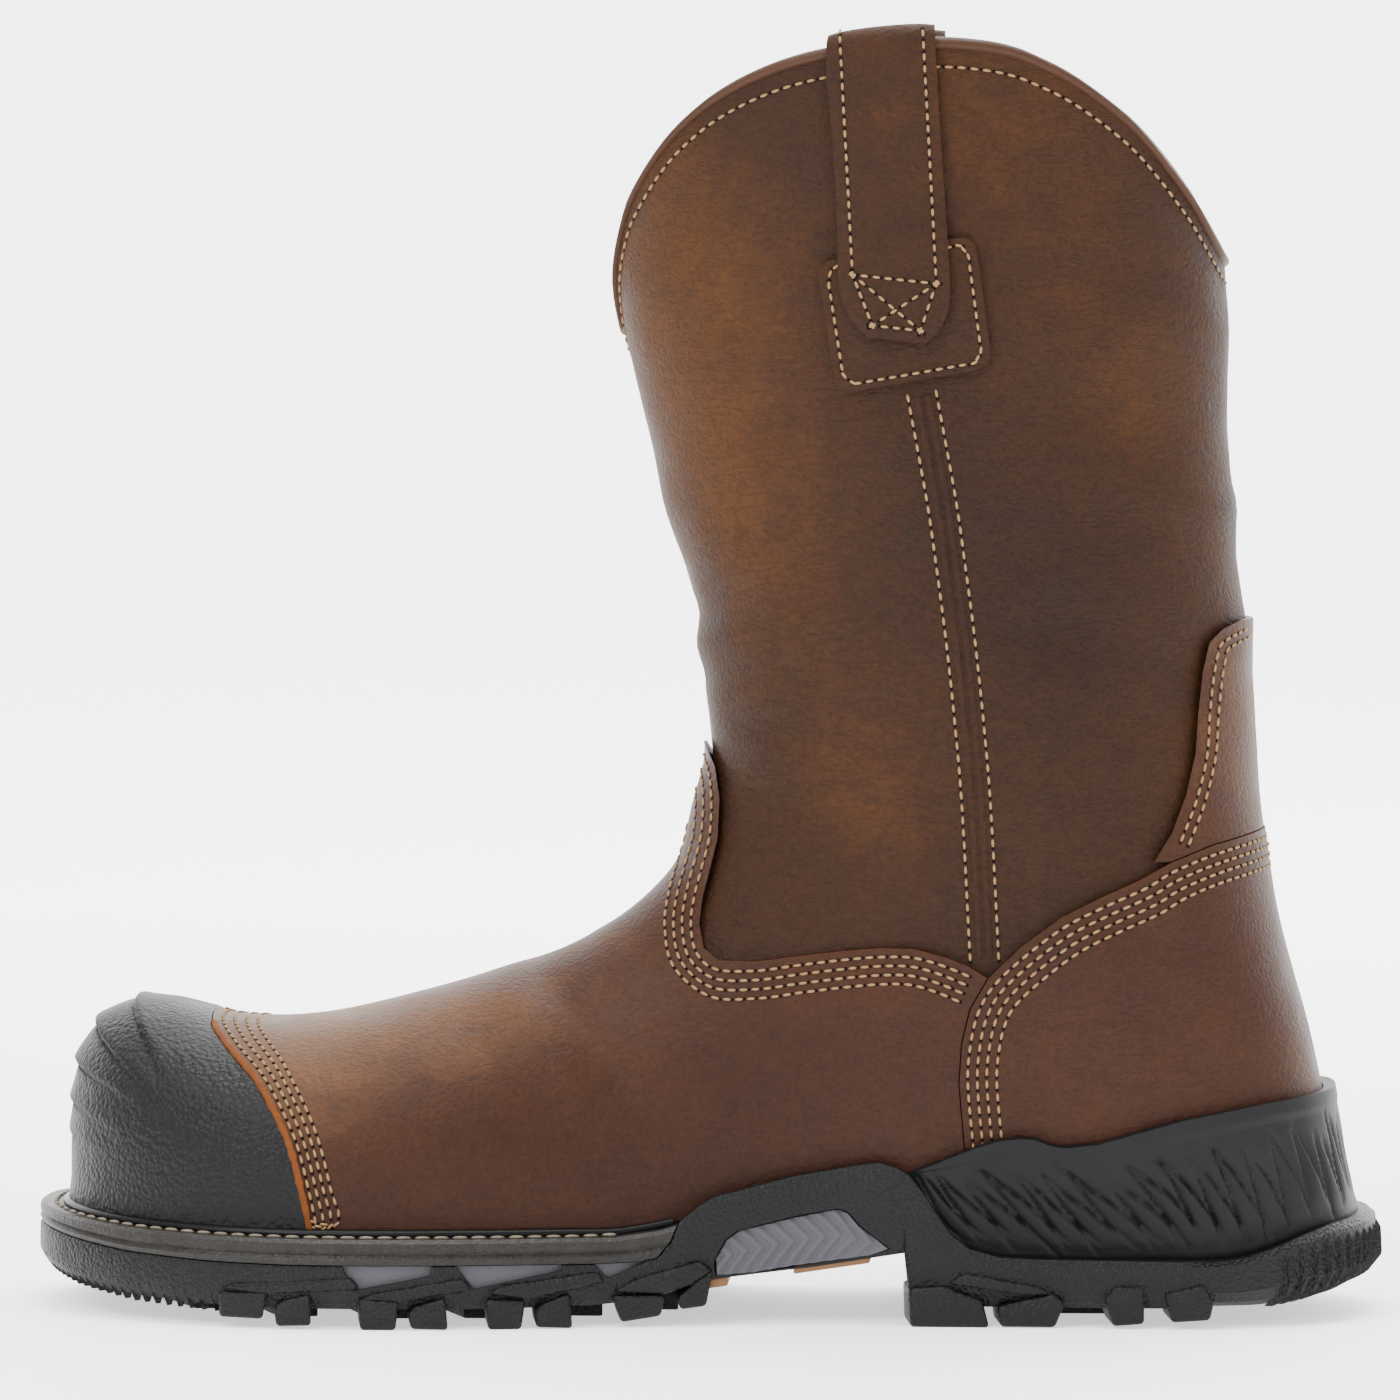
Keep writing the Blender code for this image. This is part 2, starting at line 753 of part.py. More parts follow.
def make_heel_cup():
    """Stabiliser round the heel, between the outsole's edge and its own scalloped top."""
    inner = COUNTER_THICK + 2 * GAP
    piece = shell("heel_cup", inner, inner + CUP_THICK)
    top = side_view(CUP_TOP)
    top.append((top[-1][0] + BESIDE, top[-1][1]))
    low = offset_line([spot for spot in wall_line() if spot[0] > top[0][0]], 2 * GAP)
    combine(piece, prism("edge", top[::-1] + low), "INTERSECT")
    return piece


def make_binding():
    """Rolled edge on the collar, a tube that follows the rim."""
    rim = (last_at(0.0)[-1] + last_at(-UPPER_WALL)[-1]) / 2
    below = (last_at(0.0)[-2] + last_at(-UPPER_WALL)[-2]) / 2
    up = (rim - below) / np.linalg.norm(rim - below, axis=1, keepdims=True)
    path = rim + up * (BINDING_RADIUS + GAP)
    out = LAST_OUT[-1]
    sides = 6
    points = []
    for spot, lift, away in zip(path, up, out):
        for k in range(sides):
            angle = 2 * math.pi * (k + 0.5) / sides
            points.append(spot + BINDING_RADIUS * (math.cos(angle) * away
                                                   + math.sin(angle) * lift))
    count = len(path)
    faces = []
    for i in range(count):
        for k in range(sides):
            near = i * sides
            far = (i + 1) % count * sides
            faces.append((near + k, near + (k + 1) % sides, far + (k + 1) % sides, far + k))
    return new_object("collar_binding", points, faces)


# Centre line of the straps from patch to collar, and their half width as a share of
# STRAP_WIDTH: along, rise, half
STRAP_LINE = (
    (0.3530, 0.765, 0.26),
    (0.3535, 0.777, 0.40),
    (0.3545, 0.800, 0.50),
    (0.3560, 0.845, 0.50),
    (0.3580, 0.875, 0.50),
    (0.3610, 0.925, 0.50),
    (0.3650, 0.962, 0.50),
)
STRAP_COLUMNS = 4
STRAP_ARC_STEPS = 6


def surface_spot(x, z, side):
    """Point of the last's side at an X and a height, and its outward direction."""
    def at(turn, goal):
        low, high = NECK_ROW - 4, len(SECTIONS) - 1.0
        for _ in range(22):
            middle = (low + high) / 2
            if section_point(middle, turn, side)[2] < goal:
                low = middle
            else:
                high = middle
        return section_point(low, turn, side)

    low, high = 0.15, 0.9
    for _ in range(22):
        middle = (low + high) / 2
        if at(middle, z)[0] < x:
            low = middle
        else:
            high = middle
    spot = at(low, z)
    step = at(low + 0.01, z) - at(low - 0.01, z)
    out = np.array([step[1], -step[0], 0.0])
    out /= np.linalg.norm(out)
    return spot, out if out[1] * side > 0 else -out


def strap_columns(side):
    """Paths of the strap's inner face, one list of points and outward directions a column."""
    ease = UPPER_WALL / 2
    hold = BINDING_RADIUS + GAP
    columns = []
    for c in range(STRAP_COLUMNS):
        across = 2 * c / (STRAP_COLUMNS - 1) - 1
        path = []
        for along, rise, half in STRAP_LINE:
            x = along_to_x(along) + across * half * STRAP_WIDTH
            z = rise * BOOT_HEIGHT - across * half * STRAP_WIDTH * math.tan(STRAP_TILT)
            spot, out = surface_spot(x, z, side)
            on_patch = rise < PATCH_REACH
            stand = PATCH_THICK + 2 * GAP if on_patch else max(hold - ease, GAP)
            path.append((spot + out * stand, out))
        top, out = path[-1]
        rim_z = rim_height(top[0])
        centre = top - out * hold
        centre[2] = rim_z + hold
        up = np.array([0.0, 0.0, 1.0])
        for k in range(STRAP_ARC_STEPS + 1):
            angle = math.pi * k / STRAP_ARC_STEPS
            lean = out * math.cos(angle) + up * math.sin(angle)
            path.append((centre + lean * hold, lean))
        for k in range(1, 4):
            drop = STRAP_INSIDE * k / 3
            spot, away = surface_spot(top[0], rim_z + hold - drop, side)
            path.append((spot - away * (UPPER_WALL + hold - ease), -away))
        columns.append(path)
    return columns


STRAP_TILT = math.radians(6)
PATCH_REACH = 0.855


def rim_height(x):
    """Height of the collar's edge at an X, on its side."""
    rim = LAST[-1][:ROUND_STEPS + 1]
    return float(np.interp(x, rim[:, 0], rim[:, 2]))


def make_strap(name, side):
    """Leather loop from the patch over the collar to the inside."""
    columns = strap_columns(side)
    length = len(columns[0])
    points = []
    for path in columns:
        points += [spot for spot, _ in path]
        points += [spot + out * STRAP_THICK for spot, out in path]
    size = 2 * length
    faces = []
    for c in range(len(columns) - 1):
        near = c * size
        far = near + size
        for i in range(length - 1):
            faces.append((near + i, near + i + 1, far + i + 1, far + i))
            faces.append((near + length + i, far + length + i,
                          far + length + i + 1, near + length + i + 1))
        for i in (0, length - 1):
            faces.append((near + i, far + i, far + length + i, near + length + i))
    for c in (0, len(columns) - 1):
        near = c * size
        for i in range(length - 1):
            faces.append((near + i, near + i + 1, near + length + i + 1, near + length + i))
    return new_object(name, points, faces)


def sole_inset(thin, thick, heel_start, heel_end):
    """Inset that is thin beside the forefoot's windows, thick at the waist, core at the heel."""
    def inset(along):
        return float(np.interp(along, (heel_end, heel_start, 0.53, 0.545),
                               (HEEL_CORE_INSET, thick, thick, thin)))
    return inset


def make_outsole():
    """Rubber bottom with its side wall, windows, lugs, toe teeth and heel kick."""
    def tread(x):
        return LUG_DEPTH + height(SPRING, x)

    def flank(x):
        return tread(x) + 0.35 * (height(WALL, x) - tread(x))

    def foot_inset(along):
        return float(np.interp(along, (0.0, 0.12, 0.34), (KICK_UNDERCUT, SOLE_BEVEL, SOLE_BEVEL)))

    def top_inset(along):
        return float(np.interp(along, (0.0, 0.12, 0.54), (SOLE_BEVEL, 0.0006, 0.0006)))

    body = slab("outsole", (
        (foot_inset, tread),
        (0.0, flank),
        (top_inset, lambda x: height(WALL, x)),
    ))
    hollow = sole_inset(WINDOW_WALL, SHANK_WALL, 0.345, 0.30)
    well = slab("well", (
        (hollow, lambda x: height(FLOOR, x)),
        (hollow, lambda x: 2 * SEAT_HEIGHT),
    ))
    combine(body, well, "DIFFERENCE")
    foot = form("foot", max(VAMP_THICK, COUNTER_THICK) + 2 * GAP)
    combine(foot, under_seat(-GAP), "DIFFERENCE")
    combine(body, foot, "DIFFERENCE")
    for corners in WINDOWS + (ARCH_WINDOW,):
        combine(body, prism("window", side_view(corners, SEAT_HEIGHT)), "DIFFERENCE")
    join_parts(body, side_lug_blocks(tread))
    join_parts(body, side_rib_blocks(tread))
    join_parts(body, middle_lug_blocks(tread))
    join_parts(body, end_ribs(tread))
    return body


def side_lug_blocks(tread):
    """Feet of the lugs along both sides."""
    made = []
    for start, end, lift, _, _ in SIDE_LUGS:
        xs = (along_to_x(start), along_to_x(end))
        for side in (0, 1):
            sign = (-1, 1)[side]
            outer = [plan(x, -RIB_PROUD)[side] for x in xs]
            inner = [y - sign * LUG_REACH for y in outer]
            skew = 0.25 * (xs[1] - xs[0])
            foot = [(xs[0], outer[0], lift * LUG_DEPTH), (xs[1], outer[1], lift * LUG_DEPTH),
                    (xs[1] - skew, inner[1], lift * LUG_DEPTH),
                    (xs[0] + skew, inner[0], lift * LUG_DEPTH)]
            top = [(x, y, tread(x) + 0.0011) for x, y, _ in foot]
            made.append(block("lug", foot, top))
    return made


def side_rib_blocks(tread):
    """Ribs that carry each side lug up the outsole's wall."""
    made = []
    for start, end, _, start_rib, end_rib in SIDE_LUGS:
        xs = (along_to_x(start), along_to_x(end))
        tops = (start_rib * SEAT_HEIGHT, end_rib * SEAT_HEIGHT)
        for side in (0, 1):
            foot = []
            top = []
            for x, rise, order in zip(xs, tops, ((0, 1), (1, 0))):
                pair = (plan(x, -RIB_PROUD * 0.98)[side], plan(x, RIB_ROOT)[side])
                high = (plan(x, -0.1 * RIB_PROUD)[side], plan(x, RIB_ROOT)[side])
                foot += [(x, pair[k], tread(x) - 0.0012) for k in order]
                top += [(x, high[k], max(rise, tread(x) + 0.002)) for k in order]
            made.append(block("rib", foot, top))
    return made


def middle_lug_blocks(tread):
    """Chevron lugs under the forefoot and the flat pad under the heel's centre."""
    made = []
    for along, length in MIDDLE_LUGS:
        half = length * BALL_WIDTH / 2
        skew = CHEVRON_SKEW * BALL_WIDTH
        x = along_to_x(along)
        outer, inner = plan(x, LUG_REACH * 1.35)
        centre = (outer + inner) / 2
        for edge, sign in ((outer, -1), (inner, 1)):
            start = centre + sign * LUG_DEPTH * 0.6
            z = tread(x) - LUG_DEPTH
            foot = [(x - half - skew, start, z), (x + half - skew, start, z),
                    (x + half + skew, edge, z), (x - half + skew, edge, z)]
            top = [(px, py, tread(px) + 0.0011) for px, py, _ in foot]
            made.append(block("lug", foot, top))
    half_x, half_y = HEEL_PAD_LENGTH / 2, HEEL_PAD_WIDTH / 2
    foot = [(-half_x, -half_y, 0.0), (half_x, -half_y, 0.0),
            (half_x, half_y, 0.0), (-half_x, half_y, 0.0)]
    top = [(x, y, LUG_DEPTH + 0.0011) for x, y, _ in foot]
    made.append(block("lug", foot, top))
    return made


def end_ribs(tread):
    """Teeth round the toe's lower edge and ribs round the heel's kick."""
    made = []
    ends = (
        # count, end x, direction, round, power, widest turn, foot, top
        (TOE_TEETH, along_to_x(1.0), 1, TOE_ROUND, TOE_POWER, 0.80, -0.0006, 0.0042),
        (KICK_RIBS, HEEL_X, -1, HEEL_ROUND, HEEL_POWER, 0.72, 0.0010, 0.0125),
    )
    for count, end_x, ahead, radius, power, widest, low, high in ends:
        for i in range(count):
            share = (2 * i / (count - 1) - 1) * widest
            turn = abs(share) * math.pi / 2
            side = 1 if share > 0 else 0
            near = ring_spot(end_x, ahead, radius, turn, side, 0.0)
            ahead_spot = ring_spot(end_x, ahead, radius, turn + 0.02, side, 0.0)
            flow = ahead_spot - near
            flow /= np.linalg.norm(flow)
            out = np.array([flow[1], -flow[0]])
            if out[0] * ahead > 0:
                out = -out
            wide = flow * TOOTH_WIDTH / 2
            z0 = tread(near[0]) + low
            z1 = tread(near[0]) + high
            foot = []
            top = []
            for along_edge, depth in ((-1, 0.6), (1, 0.6), (1, -1.9), (-1, -1.9)):
                spot = near + along_edge * wide + out * TOOTH_PROUD * depth
                foot.append((spot[0], spot[1], z0))
                lean = near + along_edge * wide + out * TOOTH_PROUD * (1.0 if depth > 0 else depth)
                top.append((lean[0], lean[1], z1))
            made.append(block("tooth", foot, top))
    return made


def ring_spot(end_x, ahead, radius, turn, side, inset):
    """Place on the rounded end of the sole's outline."""
    x = end_x + ahead * (inset + (radius - inset) * (1 - math.cos(turn)))
    return np.array([x, plan(x, inset)[side]])


def make_welt():
    """Strip round the forefoot, between the outsole's wall and the upper."""
    def low(x):
        return height(WALL, x) + GAP if x_to_along(x) > WELT_END else WELT_END_RISE

    def high(x):
        return height(SEAT, x) - GAP

    def middle(x):
        return (low(x) + high(x)) / 2

    edge = 0.0006
    piece = slab("welt", ((edge, low), (0.0, middle), (edge * 1.5, high)))
    hole = slab("hole", ((WELT_WIDTH, lambda x: 0.0), (WELT_WIDTH, lambda x: BESIDE)))
    combine(piece, hole, "DIFFERENCE")
    line = [spot for spot in offset_line(wall_line(), GAP) if spot[0] < along_to_x(0.48)]
    end = line[-1][0]
    behind = line + [(end, 1.2 * BESIDE), (2 * BESIDE, 1.2 * BESIDE), (2 * BESIDE, -BESIDE),
                     (line[0][0], -BESIDE)]
    return combine(piece, prism("behind", behind), "DIFFERENCE")


WELT_END = 0.532
WELT_END_RISE = 0.455 * SEAT_HEIGHT


def make_midsole():
    """Grey layer in the outsole's well, with the raised middle that fills the welt."""
    def floor(x):
        return height(FLOOR, x) + GAP

    def ledge(x):
        return min(height(WALL, x), height(SEAT, x) - GAP)

    drawn = sole_inset(WINDOW_WALL + GAP, SHANK_WALL + GAP, 0.372, 0.348)

    def lower_inset(along):
        return drawn(along) + (GAP if along < CUP_START else 0.0)

    def upper_inset(along):
        return max(lower_inset(along),
                   float(np.interp(along, (0.48, 0.50), (0.0, WELT_WIDTH + GAP))))

    piece = slab("midsole", ((lower_inset, floor), (lower_inset, ledge)))
    crown = slab("crown", (
        (upper_inset, lambda x: height(FLOOR, x) + 4 * GAP),
        (upper_inset, lambda x: height(SEAT, x) - GAP),
    ))
    return combine(piece, crown, "UNION")


def make_arch_inserts():
    """Grey ribbed inserts that fill the arch windows."""
    corners = side_view(ARCH_WINDOW, SEAT_HEIGHT)
    centre = np.mean(corners, axis=0)
    fit = []
    for spot in corners:
        reach = np.array(spot) - centre
        fit.append(tuple(centre + reach * (1 - 1.6 * GAP / np.linalg.norm(reach))))
    for name, near, far in (("arch_insert_outer", -BESIDE, 0.0),
                            ("arch_insert_inner", 0.0, BESIDE)):
        plate = slab(name, ((0.0008, lambda x: 0.0), (0.0008, lambda x: SEAT_HEIGHT)))
        core = slab("core", ((SHANK_WALL - GAP, lambda x: -0.01),
                             (SHANK_WALL - GAP, lambda x: 2 * SEAT_HEIGHT)))
        combine(plate, core, "DIFFERENCE")
        combine(plate, prism("fit", fit, near, far), "INTERSECT")


def make_insole():
    """Footbed inside the upper."""
    piece = form("insole", -UPPER_WALL - GAP)
    line = seat_line()
    band = line + [(x, z + INSOLE_THICK) for x, z in reversed(line)]
    return combine(piece, prism("band", band), "INTERSECT")


def finish(name, colour):
    """Clean a piece's mesh, shade it smooth and give it its material."""
    piece = bpy.data.objects[name]
    shape = bmesh.new()
    shape.from_mesh(piece.data)
    bmesh.ops.remove_doubles(shape, verts=shape.verts, dist=2e-6)
    bmesh.ops.dissolve_limit(shape, angle_limit=FLAT_ANGLE, verts=shape.verts,
                             edges=shape.edges)
    bmesh.ops.triangulate(shape, faces=shape.faces)
    bmesh.ops.dissolve_degenerate(shape, edges=shape.edges, dist=2e-6)
    shape.to_mesh(piece.data)
    shape.free()
    piece.data.shade_smooth()
    piece.data.set_sharp_from_angle(angle=math.radians(35))
    red, green, blue, rough = COLOURS[colour]
    material = bpy.data.materials.get(colour) or bpy.data.materials.new(colour)
    material.use_nodes = True
    surface = material.node_tree.nodes["Principled BSDF"]
    surface.inputs["Base Color"].default_value = (red, green, blue, 1.0)
    surface.inputs["Roughness"].default_value = rough
    surface.inputs["Metallic"].default_value = 0.0
    piece.data.materials.clear()
    piece.data.materials.append(material)


PIECES = {
    "upper": "brown_leather",
    "vamp": "brown_leather",
    "toe_cap": "black_rubber",
    "counter": "brown_leather",
    "backstay": "brown_leather",
    "strap_patch_outer": "brown_leather",
    "strap_patch_inner": "brown_leather",
    "collar_binding": "dark_leather",
    "pull_strap_outer": "brown_leather",
    "pull_strap_inner": "brown_leather",
    "heel_cup": "black_rubber",
    "outsole": "black_rubber",
    "welt": "welt_rubber",
    "midsole": "grey_foam",
    "arch_insert_outer": "grey_foam",
    "arch_insert_inner": "grey_foam",
    "insole": "lining",
}


def main():
    for old in list(bpy.data.objects):
        bpy.data.objects.remove(old)
    make_upper()
    make_toe_cap()
    make_vamp()
    make_counter()
    make_backstay()
    make_patches()
    make_heel_cup()
    make_binding()
    make_strap("pull_strap_outer", -1)
    make_strap("pull_strap_inner", 1)
    make_outsole()
    make_welt()
    make_midsole()
    make_arch_inserts()
    make_insole()
    for name, colour in PIECES.items():
        finish(name, colour)


main()
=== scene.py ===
"""Looks of a pull-on work boot: leather upper, rubber toe cap, welt and lugged sole.

Metres, +Z up, toe towards -X, outer side of the foot towards -Y.
"""

from __future__ import annotations

import logging
import math
from dataclasses import dataclass, field
from enum import Enum
from typing import Callable, Optional, Sequence

import bmesh
import bpy
import numpy as np
from mathutils import Matrix, Vector
from mathutils.bvhtree import BVHTree

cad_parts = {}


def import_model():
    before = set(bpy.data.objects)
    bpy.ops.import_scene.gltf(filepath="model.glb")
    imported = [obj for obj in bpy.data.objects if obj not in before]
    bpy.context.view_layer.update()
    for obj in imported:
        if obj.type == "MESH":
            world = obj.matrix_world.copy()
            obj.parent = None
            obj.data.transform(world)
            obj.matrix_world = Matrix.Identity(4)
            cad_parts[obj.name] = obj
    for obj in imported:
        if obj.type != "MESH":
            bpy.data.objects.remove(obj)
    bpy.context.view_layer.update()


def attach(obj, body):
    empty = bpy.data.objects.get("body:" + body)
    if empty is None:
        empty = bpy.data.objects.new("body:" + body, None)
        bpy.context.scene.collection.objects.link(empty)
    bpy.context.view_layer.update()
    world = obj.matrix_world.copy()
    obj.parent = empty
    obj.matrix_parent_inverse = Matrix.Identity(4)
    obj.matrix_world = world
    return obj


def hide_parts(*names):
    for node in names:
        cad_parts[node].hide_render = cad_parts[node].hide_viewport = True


LOG = logging.getLogger("work_boot")
Line = list[tuple[float, float]]
Path = list[tuple[Vector, Vector, Vector]]
Array = np.ndarray
Piece = bpy.types.Object
Shape = bmesh.types.BMesh
Tree = bpy.types.NodeTree
Node = bpy.types.Node
Socket = bpy.types.NodeSocket
Material = bpy.types.Material

MM = 0.001
CLEAR = 0.09  # half width of the cutters, wider than the boot
OUTSIDE = 0.2  # how far outside the boot rays start
RAY_STEP = 0.0003  # distance between the rays that lay a line on the leather
WELD = 2e-6  # points closer than this become one

# Plan of the sole: along from the heel's back, centre and half as shares of the ball's width
PLAN = (
    (0.00, 0.000, 0.375), (0.12, 0.000, 0.379), (0.24, 0.000, 0.366), (0.36, -0.012, 0.348),
    (0.46, -0.014, 0.352), (0.56, -0.002, 0.400), (0.66, 0.010, 0.462), (0.74, 0.020, 0.490),
    (0.82, 0.034, 0.485), (0.90, 0.048, 0.460), (1.00, 0.066, 0.430),
)
# Side view of the sole: along, and rise as a share of the seat's height
SPRING = (
    (0.000, 0.090), (0.035, 0.045), (0.090, 0.000), (0.344, 0.000), (0.348, 0.352),
    (0.415, 0.257), (0.4785, 0.186), (0.505, 0.150), (0.528, 0.057), (0.573, 0.014),
    (0.640, 0.000), (0.795, 0.000), (0.858, 0.012), (0.9215, 0.045), (0.969, 0.105),
    (1.000, 0.180),
)
FLOOR = (
    (0.000, 0.345), (0.295, 0.345), (0.330, 0.490), (0.360, 0.560), (0.415, 0.490),
    (0.4785, 0.414), (0.510, 0.357), (0.535, 0.286), (0.573, 0.250), (0.795, 0.246),
    (0.858, 0.258), (0.9215, 0.290), (0.969, 0.345), (1.000, 0.414),
)
WALL = (
    (0.000, 0.690), (0.035, 0.655), (0.056, 0.595), (0.077, 0.520), (0.0987, 0.460),
    (0.1187, 0.440), (0.250, 0.449), (0.278, 0.460), (0.300, 0.514), (0.314, 0.611),
    (0.324, 0.743), (0.3345, 0.886), (0.3446, 1.003), (0.3535, 1.049), (0.366, 1.083),
    (0.380, 1.069), (0.428, 0.991), (0.487, 0.854), (0.500, 0.780), (0.512, 0.689),
    (0.518, 0.557), (0.528, 0.450), (0.540, 0.425), (0.573, 0.414), (0.795, 0.414),
    (0.858, 0.426), (0.9215, 0.457), (0.969, 0.509), (1.000, 0.557),
)
SEAT = (
    (0.000, 1.000), (0.290, 1.000), (0.352, 0.966), (0.415, 0.886), (0.4785, 0.771),
    (0.526, 0.643), (0.560, 0.600), (0.795, 0.600), (0.858, 0.609), (0.9215, 0.629),
    (0.969, 0.663), (1.000, 0.697),
)
# Sections of the last: front along, front rise, back along, back rise, middle, width, hold,
# crown, heel round
SECTIONS = (
    (0.967, 0.158, 0.967, -0.084, 0.24, 0.80, 1.00, 2.6, 3.0),
    (0.959, 0.200, 0.961, -0.084, 0.35, 0.80, 1.00, 2.6, 3.0),
    (0.937, 0.226, 0.940, -0.084, 0.40, 0.80, 1.00, 2.6, 3.0),
    (0.903, 0.232, 0.906, -0.084, 0.41, 0.80, 1.00, 2.5, 3.0),
    (0.846, 0.220, 0.849, -0.084, 0.39, 0.80, 1.00, 2.35, 3.0),
    (0.782, 0.223, 0.782, -0.084, 0.40, 0.80, 1.00, 2.2, 3.0),
    (0.706, 0.242, 0.700, -0.084, 0.43, 0.80, 1.00, 2.1, 3.0),
    (0.637, 0.265, 0.611, -0.084, 0.47, 0.81, 1.00, 2.0, 3.0),
    (0.588, 0.285, 0.517, -0.075, 0.47, 0.815, 0.85, 1.95, 2.8),
    (0.545, 0.316, 0.409, -0.060, 0.48, 0.815, 0.50, 1.92, 2.3),
    (0.515, 0.352, 0.295, -0.040, 0.48, 0.812, 0.22, 1.92, 2.1),
    (0.505, 0.393, 0.168, -0.040, 0.48, 0.832, 0.06, 1.97, 2.2),
    (0.497, 0.440, 0.067, -0.020, 0.48, 0.862, 0.00, 2.02, 2.4),
    (0.501, 0.490, 0.031, 0.045, 0.48, 0.890, 0.00, 2.05, 2.5),
    (0.506, 0.537, 0.040, 0.128, 0.48, 0.908, 0.00, 2.05, 2.5),
    (0.517, 0.587, 0.058, 0.222, 0.49, 0.920, 0.00, 2.05, 2.45),
    (0.532, 0.637, 0.080, 0.309, 0.50, 0.930, 0.00, 2.05, 2.35),
    (0.542, 0.688, 0.094, 0.403, 0.50, 0.941, 0.00, 2.05, 2.25),
    (0.552, 0.735, 0.099, 0.497, 0.50, 0.954, 0.00, 2.05, 2.15),
    (0.561, 0.775, 0.106, 0.597, 0.50, 0.967, 0.00, 2.05, 2.10),
    (0.572, 0.826, 0.112, 0.695, 0.50, 0.978, 0.00, 2.05, 2.08),
    (0.573, 0.893, 0.114, 0.805, 0.50, 0.989, 0.00, 2.05, 2.05),
    (0.570, 0.973, 0.116, 0.926, 0.50, 1.000, 0.00, 2.05, 2.05),
    (0.566, 1.067, 0.119, 1.067, 0.50, 1.004, 0.00, 2.05, 2.05),
)
# Collar edge: turn from front to back, rise
COLLAR = (
    (0.00, 0.778), (0.06, 0.815), (0.14, 0.880), (0.25, 0.943), (0.35, 0.980), (0.45, 0.997),
    (0.55, 1.000), (0.63, 0.986), (0.74, 0.941), (0.84, 0.885), (0.93, 0.843), (1.00, 0.832),
)
# Edges of the panels in the side view: along, rise
CAP_EDGE = (
    (0.874, 0.300), (0.872, 0.238), (0.864, 0.222), (0.848, 0.206), (0.826, 0.185),
    (0.8095, 0.160), (0.798, 0.135), (0.7895, 0.102), (0.784, 0.070), (0.783, 0.040),
)
VAMP_TOP = (
    (0.560, 0.448), (0.500, 0.446), (0.491, 0.428), (0.487, 0.405), (0.488, 0.374),
    (0.494, 0.348), (0.499, 0.327), (0.501, 0.307), (0.497, 0.289), (0.486, 0.280),
    (0.458, 0.280), (0.428, 0.285), (0.395, 0.290), (0.367, 0.293), (0.341, 0.293),
    (0.318, 0.287), (0.301, 0.280),
)
COUNTER_FRONT = (
    (0.287, 0.271), (0.300, 0.247), (0.306, 0.220), (0.308, 0.189), (0.304, 0.139),
    (0.302, 0.090),
)
COUNTER_TOP = (
    (0.060, 0.383), (0.088, 0.380), (0.123, 0.372), (0.154, 0.360), (0.174, 0.348),
    (0.204, 0.334), (0.234, 0.318), (0.262, 0.296), (0.287, 0.271),
)
BACKSTAY_EDGE = (
    (0.040, 0.545), (0.103, 0.545), (0.116, 0.539), (0.126, 0.529), (0.131, 0.505),
    (0.134, 0.475), (0.136, 0.443), (0.143, 0.411), (0.153, 0.383), (0.166, 0.361),
)
CUP_TOP = (
    (0.3446, 0.1201), (0.3290, 0.1272), (0.3110, 0.1349), (0.2950, 0.1416), (0.2780, 0.1473),
    (0.2620, 0.1493), (0.2510, 0.1487), (0.2400, 0.1440), (0.2290, 0.1426), (0.2070, 0.1450),
    (0.1890, 0.1503), (0.1470, 0.1628), (0.0920, 0.1710), (0.0450, 0.1745), (0.0000, 0.1730),
)
PATCH_CORNERS = ((0.412, 0.825), (0.297, 0.846), (0.284, 0.744), (0.397, 0.723))
PATCH_ROUND = 0.0045
WINDOWS = (
    ((0.763, 0.50), (0.689, 0.50), (0.693, 0.350), (0.747, 0.258)),
    ((0.681, 0.50), (0.597, 0.50), (0.597, 0.380), (0.661, 0.263)),
    ((0.583, 0.50), (0.534, 0.52), (0.529, 0.455), (0.564, 0.325)),
)
ARCH_WINDOW = (
    (0.486, 0.330), (0.487, 0.435), (0.479, 0.570), (0.470, 0.630), (0.429, 0.728),
    (0.396, 0.780), (0.388, 0.754), (0.380, 0.670), (0.358, 0.510), (0.372, 0.465),
    (0.429, 0.385), (0.460, 0.345),
)
# Middle of the arch insert's chevrons lies between these: along, share of the seat's height
ARCH_TOP = ((0.352, 0.55), (0.396, 0.80), (0.429, 0.74), (0.490, 0.57))
ARCH_LOW = ((0.352, 0.47), (0.396, 0.42), (0.429, 0.385), (0.490, 0.32))
# Lug feet along both sides, and the bars that rise from them: along, height in millimetres
LUG_FEET = (
    ((0.8480, 8.4), (0.8475, 2.4), (0.8150, 2.2), (0.8120, 8.2)),
    ((0.8060, 5.4), (0.8000, 6.6), (0.7800, 8.2), (0.7790, 0.9), (0.8050, 0.6)),
    ((0.7440, 7.4), (0.7430, 0.0), (0.7170, 0.0), (0.7150, 6.6)),
    ((0.7080, 4.0), (0.7040, 5.4), (0.6810, 7.4), (0.6790, 0.0), (0.7060, 0.3)),
    ((0.6520, 7.0), (0.6500, 0.0), (0.6260, 0.0), (0.6230, 6.6)),
    ((0.6165, 4.2), (0.6120, 5.6), (0.5910, 8.2), (0.5890, 0.0), (0.6155, 0.4)),
    ((0.5600, 7.4), (0.5540, 1.2), (0.5250, 2.6), (0.5220, 7.4)),
    ((0.5130, 6.8), (0.5010, 10.0), (0.4870, 13.2), (0.4920, 4.8), (0.5110, 4.0)),
    ((0.3440, 9.0), (0.3430, 0.0), (0.2850, 0.0), (0.2900, 6.2), (0.3180, 9.5)),
    ((0.2790, 5.0), (0.2770, 0.2), (0.2370, 0.2), (0.2300, 5.8), (0.2380, 8.0)),
    ((0.2010, 7.2), (0.1930, 9.8), (0.1720, 9.8), (0.1720, 1.2), (0.1950, 0.6)),
    ((0.1570, 8.2), (0.1290, 10.4), (0.1210, 6.4), (0.1240, 2.2), (0.1520, 1.6)),
)
